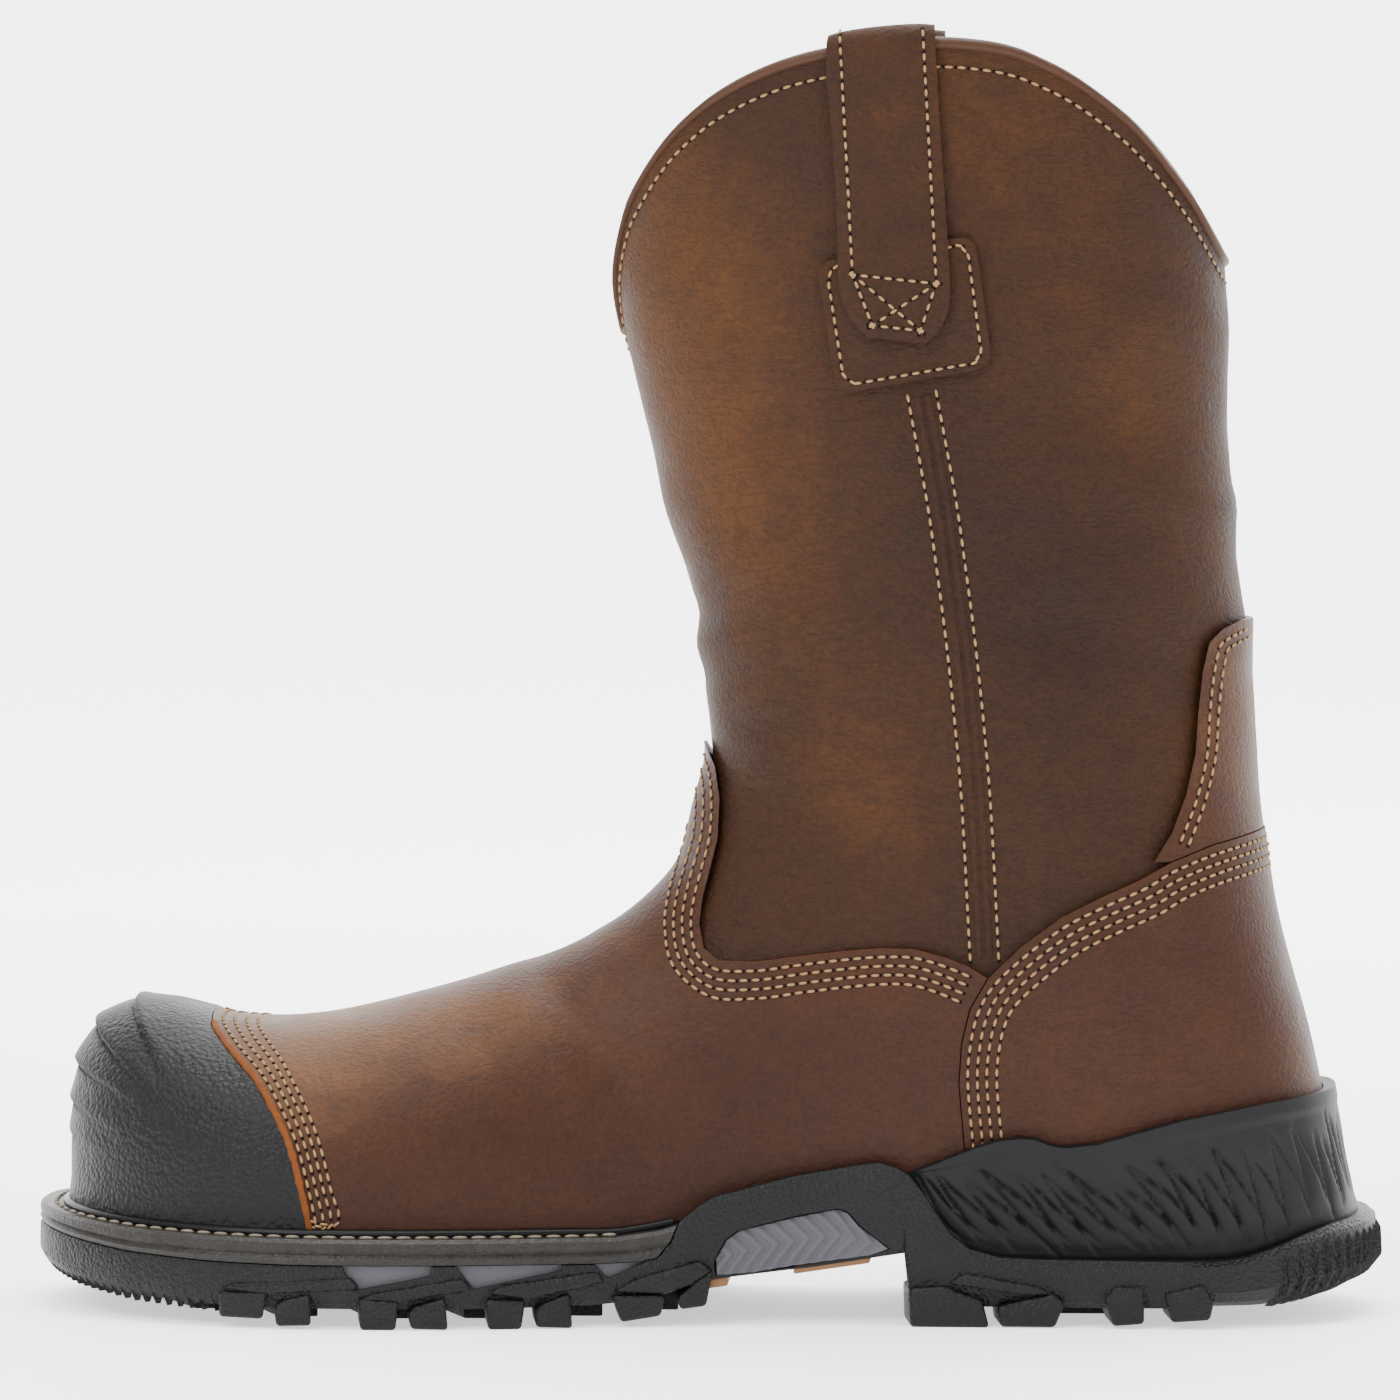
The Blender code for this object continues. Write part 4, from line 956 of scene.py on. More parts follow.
@dataclass(frozen=True)
class Leather(Finish):
    """Oiled leather with golden pull-up, darker areas, painted shade low on the upper and in the
    hollows of its wrinkled grain.
    """

    golden: Colour = (0.205, 0.088, 0.028)
    dark: Colour = (0.062, 0.029, 0.019)
    wrinkle: float = 0.6

    def material(self, groups: dict[str, Tree]) -> Material:
        """Build the material from the piece's own tone attribute.

        Args:
            groups: The shared node groups.

        Returns:
            The finished material.
        """
        material, tree, surface = self.start()
        tone = tree.nodes.new("ShaderNodeAttribute")
        tone.attribute_name = "tone"
        cloud = noise(tree, 16.0, 3.0)
        veins = noise(tree, 120.0, 2.0)
        shift = maths(tree, "MULTIPLY", maths(tree, "SUBTRACT", cloud.outputs["Fac"], 0.5), 1.1)
        shift = maths(tree, "ADD", shift, maths(
            tree, "MULTIPLY", maths(tree, "SUBTRACT", veins.outputs["Fac"], 0.5), 0.45))
        total = maths(tree, "ADD", tone.outputs["Fac"], shift)
        ramp = tree.nodes.new("ShaderNodeValToRGB")
        ramp.color_ramp.elements[0].position = 0.05
        ramp.color_ramp.elements[0].color = (*self.dark, 1.0)
        ramp.color_ramp.elements[1].position = 0.95
        ramp.color_ramp.elements[1].color = (*self.golden, 1.0)
        middle = ramp.color_ramp.elements.new(0.48)
        middle.color = (*self.colour, 1.0)
        link(tree, total, ramp.inputs["Fac"])
        self.dress_roughness(tree, surface)
        height = self.dress_bump(tree, surface, groups["grain"], {
            "Pore Scale": self.bump_scale, "Wrinkle": self.wrinkle})
        # painted shade: the colour darkens in the grain's pores and wrinkle lines and lightens on
        # its high points
        grain_shade = maths(tree, "MULTIPLY_ADD", height, 0.75, 0.50)
        darker = tree.nodes.new("ShaderNodeVectorMath")
        darker.operation = "SCALE"
        link(tree, ramp.outputs["Color"], darker.inputs["Vector"])
        link(tree, grain_shade, darker.inputs["Scale"])
        link(tree, darker.outputs["Vector"], surface.inputs["Base Color"])
        return material


FINISHES = {
    "shaft": Leather("shaft_leather", (0.029, 0.0110, 0.0043), (0.1, 0.05, 0.03), 0.58, 0.10,
                     bump=0.60, bump_depth=0.0006, specular=0.12,
                     golden=(0.056, 0.0210, 0.0055), dark=(0.018, 0.0075, 0.0040),
                     wrinkle=0.55),
    "vamp": Leather("vamp_leather", (0.043, 0.0148, 0.0060), (0.1, 0.05, 0.03), 0.50, 0.10,
                    bump=0.50, bump_depth=0.0006, specular=0.13, wrinkle=0.35,
                    golden=(0.105, 0.0440, 0.0150), dark=(0.030, 0.0105, 0.0052)),
    "edge": Finish("raw_leather_edge", (0.160, 0.046, 0.008), (0.070, 0.020, 0.005), 0.75,
                   mottle_scale=300.0, bump_scale=1400.0, specular=0.15),
    "brown_edge": Finish("cut_leather_edge", (0.085, 0.026, 0.006), (0.045, 0.014, 0.004), 0.7,
                         mottle_scale=300.0, bump_scale=1400.0, specular=0.15),
    "dark_edge": Finish("dark_leather_edge", (0.026, 0.0105, 0.0048), (0.017, 0.007, 0.0035),
                        0.5, bump_scale=1400.0, specular=0.25),
    "roll": Finish("rolled_leather", (0.046, 0.0175, 0.0070), (0.034, 0.0130, 0.0055), 0.50,
                   bump_scale=1200.0, specular=0.18),
    "lining": Finish("lining_leather", (0.300, 0.140, 0.072), (0.240, 0.110, 0.055), 0.85,
                     mottle_scale=60.0, bump_scale=1600.0, specular=0.2),
    "thread": Finish("welt_thread", (0.270, 0.165, 0.074), (0.190, 0.112, 0.048), 0.7,
                     mottle_scale=400.0, bump_scale=2600.0, specular=0.2),
    "pale_thread": Finish("pale_thread", (0.230, 0.195, 0.140), (0.090, 0.075, 0.055), 0.7,
                          mottle_scale=400.0, bump_scale=2600.0, specular=0.2),
    # painted shade: near-black dots stand for the shadow inside the needle holes
    "hole": Finish("stitch_hole_painted_shade", (0.006, 0.003, 0.002), (0.004, 0.002, 0.0015), 0.9,
                   specular=0.1),
    "toe": Finish("toe_rubber", (0.0048, 0.0049, 0.0056), (0.0066, 0.0067, 0.0074), 0.46, 0.06,
                  bump_scale=820.0, bump=0.60, bump_depth=0.0005, specular=0.16),
    "sole": Finish("sole_rubber", (0.0042, 0.0043, 0.0046), (0.0070, 0.0071, 0.0072), 0.46,
                   0.08, bump_scale=1100.0, bump=0.80, bump_depth=0.0004, specular=0.17),
    "cup": Finish("cup_rubber", (0.0044, 0.0044, 0.0050), (0.0058, 0.0058, 0.0064), 0.50, 0.06,
                  bump_scale=1800.0, bump=0.22, bump_depth=0.0002, specular=0.16),
    "welt": Finish("welt_side", (0.0070, 0.0060, 0.0052), (0.0200, 0.0175, 0.0150), 0.44, 0.10,
                   mottle_scale=260.0, bump_scale=1200.0, bump=0.4, specular=0.24),
    "bead": Finish("storm_bead", (0.0030, 0.0028, 0.0028), (0.0045, 0.0040, 0.0040), 0.36,
                   0.05, bump_scale=900.0, bump=0.08, specular=0.14, coat=0.0),
    "grey": Finish("grey_foam", (0.054, 0.054, 0.062), (0.068, 0.068, 0.077), 0.55, 0.06,
                   bump_scale=1500.0, bump=0.25, specular=0.25),
    "gum": Finish("amber_gum", (0.170, 0.065, 0.008), (0.110, 0.042, 0.006), 0.40, 0.05,
                  bump_scale=900.0, bump=0.1),
    "insole": Finish("insole_fabric", (0.030, 0.030, 0.032), (0.050, 0.050, 0.053), 0.9,
                     mottle_scale=300.0, bump_scale=1500.0, bump=0.5),
    "floor": Finish("pale_floor", (0.930, 0.930, 0.930), (0.935, 0.935, 0.935), 0.8, 0.02,
                    bump=0.0, specular=0.2),
}


class Wardrobe:
    """Builds each finish once and dresses pieces with them."""

    def __init__(self) -> None:
        """Build the shared node groups."""
        self.groups = {"grain": build_grain_group(), "pebble": build_pebble_group()}
        self.made: dict[str, Material] = {}

    def get(self, name: str) -> Material:
        """Finish of a name, built when it is first asked for.

        Args:
            name: Its key in FINISHES.

        Returns:
            The material.
        """
        if name not in self.made:
            self.made[name] = FINISHES[name].material(self.groups)
        return self.made[name]

    def dress(self, piece: Piece, names: Sequence[str], slot: Slot,
              nodes: Sequence[str] = ()) -> Piece:
        """Give a piece its finishes and its body, and hide the CAD nodes that it replaces.

        Args:
            piece: The new piece.
            names: Its finishes, by material index.
            slot: The record's slot. Not used.
            nodes: CAD nodes that it replaces.

        Returns:
            The same piece.
        """
        piece.data.materials.clear()
        for name in names:
            piece.data.materials.append(self.get(name))
        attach(piece, "root")
        if nodes:
            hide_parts(*nodes)
        faces = len(piece.data.polygons)
        LOG.info("%s: %d faces", piece.name, faces)
        return piece


def paint_tone(sizes: Sizes, piece: Piece) -> None:
    """Store how golden or dark the leather is at each point of a piece, painted shade above the
    welt included.

    Args:
        sizes: The boot's sizes.
        piece: A leather piece.
    """
    mesh = piece.data
    spots = np.empty(len(mesh.vertices) * 3)
    mesh.vertices.foreach_get("co", spots)
    spots = spots.reshape(-1, 3)
    tone = np.full(len(spots), 0.42)
    for along, rise, reach, strength in TONES:
        away = np.hypot(spots[:, 0] - sizes.x(along), spots[:, 2] - rise * sizes.boot_height)
        tone += 0.38 * strength * np.exp(-(away / (reach * sizes.sole_length)) ** 2)
    attribute = mesh.attributes.new("tone", "FLOAT", "POINT")
    attribute.data.foreach_set("value", np.clip(tone, 0.0, 1.0).astype(np.float32))


@dataclass
class Upper:
    """Shaft, lining, panels and collar binding."""

    sizes: Sizes
    last: Last
    wardrobe: Wardrobe
    made: dict[str, Piece] = field(default_factory=dict)
    leather: float = 0.0013
    roll: tuple[float, float] = (1.55, 1.1)
    rim: tuple[Array, Array, Array] = field(init=False)
    base_tree: BVHTree = field(init=False)

    def grid(self, places: Array, turns: Array, tip: bool = False) -> Array:
        """Points of the last over a range of sections and turns.

        Args:
            places: Fractional sections, by row or by row and column.
            turns: Turns, one a column.
            tip: Whether rows are added that close the toe's tip.

        Returns:
            Points by row and column.
        """
        if places.ndim == 1:
            places = np.repeat(places[:, None], len(turns), axis=1)
        points = self.last.point(places, np.repeat(turns[None, :], len(places), axis=0))
        if tip:
            ring = points[0]
            s = self.sizes
            centre = np.array([ring[:, 0].mean(), ring[:, 1].mean(),
                               SECTIONS[0][1] * s.boot_height * 0.65])
            closing = []
            for share in np.linspace(0.02, 0.95, 15):
                row = centre + (ring - centre) * share
                row[:, 0] = ring[:, 0] - 0.0005 * (1 - share ** 2)
                closing.append(row)
            points = np.concatenate([np.array(closing), points])
        return points

    def panel(self, name: str, places: Array, turns: Array, inner: float,
              thick: float, outline: Line, tip: bool = False,
              extra: Optional[Callable[[Array], Array]] = None,
              near: float = -CLEAR, far: float = CLEAR, soft: float = 1.0) -> Piece:
        """Make a panel that lies on the last.

        Args:
            name: The piece's name.
            places: Sections that it spans.
            turns: Turns that it spans.
            inner: Offset of its inner face.
            thick: Its thickness.
            outline: Side-view polygon that it is cut to.
            tip: Whether it closes the toe's tip.
            extra: Added height of its outer face, by point.
            near: Y of the cut's near face.
            far: Y of the cut's far face.
            soft: How much of the leather's creases it shows.

        Returns:
            The piece.
        """
        base = self.grid(places, turns, tip)
        out = self.last.outward(base, closed=False)
        lift = soft * relief(self.sizes, base)
        added = extra(base) if extra else 0.0
        outer = base + out * (inner + thick + lift + added)[..., None]
        under = base + out * (inner + lift)[..., None]
        piece = new_piece(name, wall_between(outer, under, 1))
        combine(piece, prism(outline, near, far), "INTERSECT")
        return piece

    def form(self, offset: float) -> Piece:
        """Closed solid of the last below the neck at an offset, used as a cutter.

        Args:
            offset: How far it stands off the last.

        Returns:
            The solid.
        """
        base = self.grid(np.linspace(0.0, self.last.neck, 60), np.linspace(-1.0, 1.0, 97),
                         tip=True)
        skin = base + self.last.outward(base, closed=True) * offset
        skin[:, -1] = skin[:, 0]
        return new_piece("form", close_up(sheet_from_grid(skin)))

    def raw_edges(self, piece: Piece) -> None:
        """Give the second material to faces that stand across the last's surface.

        Args:
            piece: A cut panel.
        """
        for face in piece.data.polygons:
            _, normal, _, _ = self.base_tree.find_nearest(face.center)
            if normal is not None and abs(face.normal.dot(normal)) < 0.55:
                face.material_index = 1

    def finish_panel(self, name: str, piece: Piece, finishes: Sequence[str],
                     slot: Slot, nodes: Sequence[str]) -> Piece:
        """Shade, colour and dress a cut panel.

        Args:
            name: Its key.
            piece: The panel.
            finishes: Finish of its faces and of its cut edges.
            slot: The record's slot.
            nodes: CAD nodes that it replaces.

        Returns:
            The panel.
        """
        shade(piece.data, 38)
        self.wardrobe.dress(piece, finishes, slot, nodes)
        if len(finishes) > 1:
            self.raw_edges(piece)
        paint_tone(self.sizes, piece)
        self.made[name] = piece
        return piece

    def build_shaft(self) -> None:
        """The leather wall and the lining inside it."""
        s = self.sizes
        turns = np.linspace(-1.0, 1.0, 161)
        low = np.linspace(0.0, self.last.neck, 90)
        edge = self.last.edge(turns)
        shares = np.linspace(0.0, 1.0, 46)[1:, None]
        places = np.concatenate([np.repeat(low[:, None], len(turns), axis=1),
                                 self.last.neck + (edge[None, :] - self.last.neck) * shares])
        base = self.grid(places, turns, tip=True)
        out = self.last.outward(base, closed=True)
        self.rim = base[-1], base[-2], out[-1]
        self.base_tree = BVHTree.FromBMesh(sheet_from_grid(base))
        lift = relief(s, base)
        skins = {}
        for key, offset in (("face", 0.0), ("middle", -self.leather), ("lining", -s.wall)):
            skin = base + out * (offset + lift)[..., None]
            skin[:, -1] = skin[:, 0]
            skins[key] = skin
        for name, first, second in (("shaft", "face", "middle"), ("lining", "middle", "lining")):
            piece = new_piece(name, wall_between(skins[first], skins[second], 0))
            combine(piece, s.under_seat(), "DIFFERENCE")
            self.finish_panel(name, piece, (name,), Slot.SHAFT, ("upper",))

    def add_panel(self, key: str, name: str, places: Array, turns: Array, thick: float,
                  corners: Line, finishes: Sequence[str], seated: bool = True,
                  **more: object) -> None:
        """Make a panel over the shaft, stand it on the sole's seat and dress it.

        Args:
            key: The CAD node that it replaces.
            name: The piece's name.
            places: Sections that it spans.
            turns: Turns that it spans.
            thick: Its thickness.
            corners: Side-view polygon that it is cut to.
            finishes: Finish of its faces and of its cut edges.
            seated: Whether it reaches down to the seat.
            more: Further settings of the panel.
        """
        s = self.sizes
        piece = self.panel(name, places, turns, s.gap, thick, corners, **more)
        if seated:
            combine(piece, s.under_seat(), "DIFFERENCE")
        slot = {"toe": Slot.TOE, "shaft": Slot.SHAFT}.get(finishes[0], Slot.VAMP)
        self.finish_panel(key, piece, finishes, slot, (key,))

    def build_panels(self) -> None:
        """Toe cap, vamp, counter, backstay and strap patches."""
        s = self.sizes
        half = s.gap / 2
        cap = offset_line(s.side(CAP_EDGE), -half)
        ahead = s.x(1.0) - 0.0252
        corners = cap + [(cap[-1][0], -CLEAR), (ahead, -CLEAR), (ahead, CLEAR)]
        self.add_panel("toe_cap", "toe_cap_rubber", np.linspace(0.0, 5.6, 90),
                       np.linspace(-0.78, 0.78, 140), s.cap_thick, corners, ("toe",),
                       tip=True, extra=self.cap_ridges, soft=0.3)

        cap = offset_line(s.side(CAP_EDGE), half)
        front = offset_line(s.side(COUNTER_FRONT), -half)
        corners = cap[::-1] + [(cap[0][0], 0.135)] + s.side(VAMP_TOP) + front
        corners += [(front[-1][0], 0.0), (cap[-1][0], 0.0)]
        self.add_panel("vamp", "vamp_leather", np.linspace(3.4, 13.4, 110),
                       np.linspace(-0.78, 0.78, 150), s.vamp_thick, corners, ("vamp", "edge"))

        front = offset_line(s.side(COUNTER_FRONT), half)
        corners = s.side(COUNTER_TOP)[:-1] + front
        corners += [(front[-1][0], 0.0), (s.heel_back, 0.0), (s.heel_back, corners[0][1])]
        self.add_panel("counter", "counter_leather", np.linspace(9.0, 17.3, 90),
                       np.linspace(0.42, 1.58, 120), s.counter_thick, corners,
                       ("vamp", "edge"))

        edge = s.side(BACKSTAY_EDGE)
        seam = offset_line([p for p in s.side(COUNTER_TOP) if p[0] > edge[-1][0]], -s.gap)
        corners = edge + seam[::-1] + [(s.heel_back, seam[0][1]), (s.heel_back, edge[0][1])]
        self.add_panel("backstay", "backstay_leather", np.linspace(12.5, 20.0, 70),
                       np.linspace(0.50, 1.50, 90), s.vamp_thick, corners,
                       ("vamp", "dark_edge"), seated=False)

        corners = rounded(s.side(PATCH_CORNERS), PATCH_ROUND)
        for name, sign, near, far in (("outer", -1, -CLEAR, 0.0), ("inner", 1, 0.0, CLEAR)):
            self.add_panel(f"strap_patch_{name}", f"patch_{name}", np.linspace(16.6, 22.6, 60),
                           sign * np.linspace(0.30, 0.72, 60), s.vamp_thick, corners,
                           ("shaft", "brown_edge"), seated=False, near=near, far=far)

    def cap_ridges(self, base: Array) -> Array:
        """Height of the moulded ridges on the toe cap's front and of its lower lip.

        Args:
            base: Points of the cap.

        Returns:
            Added height in metres.
        """
        s = self.sizes
        x, z = base[..., 0], base[..., 2]
        total = np.zeros(x.shape)
        for start, rise, slope, length, depth in CAP_FOLDS:
            back = x - s.x(start)
            off = z - rise * s.boot_height - slope * back
            fade = np.clip(1.0 - back / length, 0.0, 1.0) ** 0.7
            up = np.maximum(off, 0.0)
            lip = 1.35 * (1.0 - np.exp(-up / 0.0007)) * np.exp(-up / 0.0040)
            groove = 0.30 * np.exp(-(off / 0.0008) ** 2)
            total += depth * MM * fade * (lip - groove)
        lip = np.exp(-((z - s.height(SEAT, x) - 0.0015) / 0.0016) ** 2)
        return total + 0.0006 * lip

    def build_cap_edge(self, skin: "Skin") -> None:
        """Make the raw leather edge that lies over the toe cap's rear.

        Args:
            skin: The dressed upper.
        """
        s = self.sizes
        profile = ((-0.9, -0.5), (-0.8, 0.75), (-0.4, 0.90), (0.3, 0.80), (0.8, 0.45),
                   (0.9, -0.5))
        line = offset_line(s.side(CAP_EDGE), 0.0004)
        for name, side in (("outer", -1), ("inner", 1)):
            grid = ribbon(skin.path(line, side, 0.0012), profile, (0.14, 0.10))
            shape = close_up(sheet_from_grid(np.concatenate([grid, grid[:, :1]], axis=1)))
            piece = new_piece(f"raw_edge_{name}", shape, 60)
            self.wardrobe.dress(piece, ("edge",), Slot.VAMP)

    def build_binding(self) -> None:
        """Rolled edge that follows the collar."""
        s = self.sizes
        rim, below, out = self.rim
        lift = relief(s, rim)
        middle = rim + out * (lift - s.wall / 2)[:, None]
        up = rim - below
        up /= np.linalg.norm(up, axis=1, keepdims=True)
        path = middle + up * (s.binding_radius * 0.55)
        wide, high = (share * s.binding_radius for share in self.roll)
        grid = tube(path, wide * out, high * up, 17)
        grid[-1] = grid[0]
        shape = sheet_from_grid(grid)
        bmesh.ops.recalc_face_normals(shape, faces=shape.faces)
        piece = new_piece("collar_roll", shape, 80)
        self.wardrobe.dress(piece, ("roll",), Slot.BINDING, ("collar_binding",))

    def build_seams(self, skin: "Skin") -> None:
        """Make the raised side seams down both sides of the shaft.

        Args:
            skin: The dressed upper.
        """
        s = self.sizes
        profile = ((-2.3, -0.3), (-1.9, 0.30), (-0.7, 0.42), (-0.30, 0.05), (0.0, -0.15),
                   (0.30, 0.05), (0.7, 0.42), (1.9, 0.30), (2.3, -0.3))
        for name, side in (("outer", -1), ("inner", 1)):
            shape = sheet_from_grid(ribbon(skin.path(s.side(SEAM_LINE), side, 0.002), profile))
            bmesh.ops.solidify(shape, geom=shape.faces, thickness=0.0003)
            bmesh.ops.recalc_face_normals(shape, faces=shape.faces)
            piece = new_piece(f"side_seam_{name}", shape, 60)
            self.wardrobe.dress(piece, ("shaft",), Slot.SHAFT)
            paint_tone(s, piece)


class Skin:
    """The outside of the dressed upper, on which stitches and seams are laid."""

    def __init__(self, pieces: Sequence[Piece]) -> None:
        """Read the surfaces.

        Args:
            pieces: The pieces of the dressed upper.
        """
        self.trees = []
        for piece in pieces:
            shape = bmesh.new()
            shape.from_mesh(piece.data)
            self.trees.append(BVHTree.FromBMesh(shape))
            shape.free()

    def cast(self, start: Vector, ahead: Vector) -> Optional[tuple[Vector, Vector]]:
        """First place that a ray meets.

        Args:
            start: Where it starts.
            ahead: Its direction.

        Returns:
            The place and the surface's outward direction, or None.
        """
        best = None
        for tree in self.trees:
            spot, normal, _, distance = tree.ray_cast(start, ahead)
            if spot is not None and (best is None or distance < best[2]):
                best = (spot, normal if normal.dot(ahead) < 0 else -normal, distance)
        return best[:2] if best else None

    def path(self, line: Line, side: int, pitch: float) -> Path:
        """Lay a side-view line on one side of the boot.

        Args:
            line: X and Z of its points.
            side: -1 for the outer side, 1 for the inner.
            pitch: Distance between the points on the leather.

        Returns:
            Place, outward direction and direction of travel at each point.
        """
        hits = []
        for x, z in resample(line, RAY_STEP):
            hit = self.cast(Vector((x, side * OUTSIDE, z)), Vector((0.0, -side, 0.0)))
            if hit is not None:
                hits.append((*hit[0], *hit[1]))
        rows = np.array(hits)
        spots = even(rows, max(2, round(travel(rows)[-1] / pitch) + 1))
        ways = np.gradient(spots[:, :3], axis=0)
        return [(Vector(row[:3]), Vector(row[3:]).normalized(), Vector(ahead).normalized())
                for row, ahead in zip(spots, ways)]


@dataclass
class Stitching:
    """Rows of thread, with a dark dot of painted shade at each needle hole."""

    wardrobe: Wardrobe
    thread_width: float = 0.00036
    thread_height: float = 0.00032
    thread: str = "thread"
    thread_lift: float = 0.00012
    hole_shade_lift: float = 0.00004
    hole_shade_size: tuple[float, float, float] = (0.00042, 0.00048, 0.00010)

    def template(self, length: float) -> tuple[Array, list[list[int]], int]:
        """One stitch along X and, at its end, a dark dot of painted shade for its needle hole.

        Args:
            length: Its length.

        Returns:
            Its points, its faces and how many of these are thread.
        """
        shape = bmesh.new()
        size = Matrix.Diagonal((length / 2, self.thread_width, self.thread_height, 1.0))
        lift = Matrix.Translation((0.0, 0.0, self.thread_lift))
        bmesh.ops.create_uvsphere(shape, u_segments=8, v_segments=5, radius=1.0,
                                  matrix=lift @ size)
        threads = len(shape.faces)
        # painted shade: a flattened near-black dot, just proud of the leather, stands for the
        # needle hole's shadow
        hole = Matrix.Translation((length * 0.60, 0.0, self.hole_shade_lift))
        small = Matrix.Diagonal((*self.hole_shade_size, 1.0))
        bmesh.ops.create_uvsphere(shape, u_segments=6, v_segments=4, radius=1.0,
                                  matrix=hole @ small)
        shape.verts.index_update()
        points = np.array([vert.co[:] for vert in shape.verts])
        faces = [[vert.index for vert in face.verts] for face in shape.faces]
        shape.free()
        return points, faces, threads

    def rows(self, name: str, paths: Sequence[Path], length: float, slot: Slot) -> Piece:
        """Make one piece of several rows.

        Args:
            name: The piece's name.
            paths: The rows, with a point at each stitch.
            length: Length of a stitch.
            slot: The record's slot.

        Returns:
            The piece.
        """
        points, faces, threads = self.template(length)
        spots, polygons, kinds = [], [], []
        for path in paths:
            for spot, normal, ahead in path:
                across = normal.cross(ahead).normalized()
                along = across.cross(normal).normalized()
                turned = np.array([along[:], across[:], normal[:]])
                start = len(spots) * len(points)
                spots.append(points @ turned + np.array(spot))
                polygons += [[start + i for i in face] for face in faces]
                kinds += [0] * threads + [1] * (len(faces) - threads)
        mesh = bpy.data.meshes.new(name)
        mesh.from_pydata(np.concatenate(spots), [], polygons)
        mesh.shade_smooth()
        piece = place_object(name, mesh)
        self.wardrobe.dress(piece, (self.thread, "hole"), slot)
        mesh.polygons.foreach_set("material_index", kinds)
        return piece


@dataclass
class Stitches:
    """All the stitch rows of the upper."""

    sizes: Sizes
    skin: Skin
    stitching: Stitching
    pitch: float = 0.0029
    thread: float = 0.0021
    box_pitch: float = 0.0027
    box_thread: float = 0.0019
    collar_drop: float = 0.0046

    def both(self, lines: Sequence[Line], pitch: float) -> list[Path]:
        """Paths of side-view lines on both sides of the boot."""
        return [self.skin.path(line, side, pitch) for line in lines for side in (-1, 1)]

    def build(self) -> None:
        """Lay every row of the panels, as lines at set distances from their edges."""
        s = self.sizes
        cap = s.side(CAP_EDGE)[1:-1] + [(s.x(0.781), 0.0235)]
        counter = s.side(COUNTER_TOP)[:-1] + s.side(COUNTER_FRONT)[:-1]
        counter += [(s.x(0.3035), 0.0385)]
        everywhere = -math.inf
        for name, edge, distances, lowest, rearmost, slot in (
                ("cap", cap, (0.0021, 0.0038, 0.0055, 0.0072), everywhere, math.inf, Slot.VAMP),
                ("vamp", s.side(VAMP_TOP)[1:], (-0.0019, -0.0040, -0.0061, -0.0082), everywhere,
                 s.x(0.300), Slot.VAMP),
                ("counter", counter, (0.0021, 0.0043, 0.0065, 0.0088), everywhere, math.inf,
                 Slot.VAMP),
                ("backstay", s.side(BACKSTAY_EDGE)[1:], (0.0026, 0.0046), 0.112, math.inf,
                 Slot.VAMP),
                ("side", s.side(SEAM_LINE), (-0.0033, 0.0033), everywhere, math.inf,
                 Slot.SHAFT)):
            rows = [[spot for spot in offset_line(edge, distance)
                     if spot[0] < rearmost and spot[1] > lowest] for distance in distances]
            self.stitching.rows(f"stitches_{name}", self.both(rows, self.pitch), self.thread,
                                slot)

        patch = rounded(s.side(PATCH_CORNERS), PATCH_ROUND)
        centre = np.mean(patch, axis=0)
        inset = [tuple(centre + (np.array(p) - centre) * 0.885) for p in patch]
        inset.append(inset[0])
        self.stitching.rows("stitches_patch", self.both([inset], self.box_pitch),
                            self.box_thread, Slot.SHAFT)

    def build_collar(self, upper: Upper) -> None:
        """Lay the row below the collar's binding.

        Args:
            upper: The upper, for its last.
        """
        s = self.sizes
        turns = np.linspace(-1.0, 1.0, 420)
        edge = upper.last.edge(turns)
        rim = upper.last.point(edge, turns)
        below = upper.last.point(edge - 0.28, turns)
        drop = below - rim
        drop /= np.linalg.norm(drop, axis=1, keepdims=True)
        line = rim + drop * self.collar_drop
        spots = even(line, int(travel(line)[-1] / self.pitch))
        path = []
        for before, here, after in zip(spots[:-2], spots[1:-1], spots[2:]):
            out = Vector((here[0] - s.x(0.345), here[1] * 2.4, 0.0)).normalized()
            hit = self.skin.cast(Vector(here) + out * 0.02, -out)
            if hit is not None:
                path.append((hit[0], hit[1], Vector(after - before).normalized()))
        self.stitching.rows("stitches_collar", [path], self.thread, Slot.SHAFT)


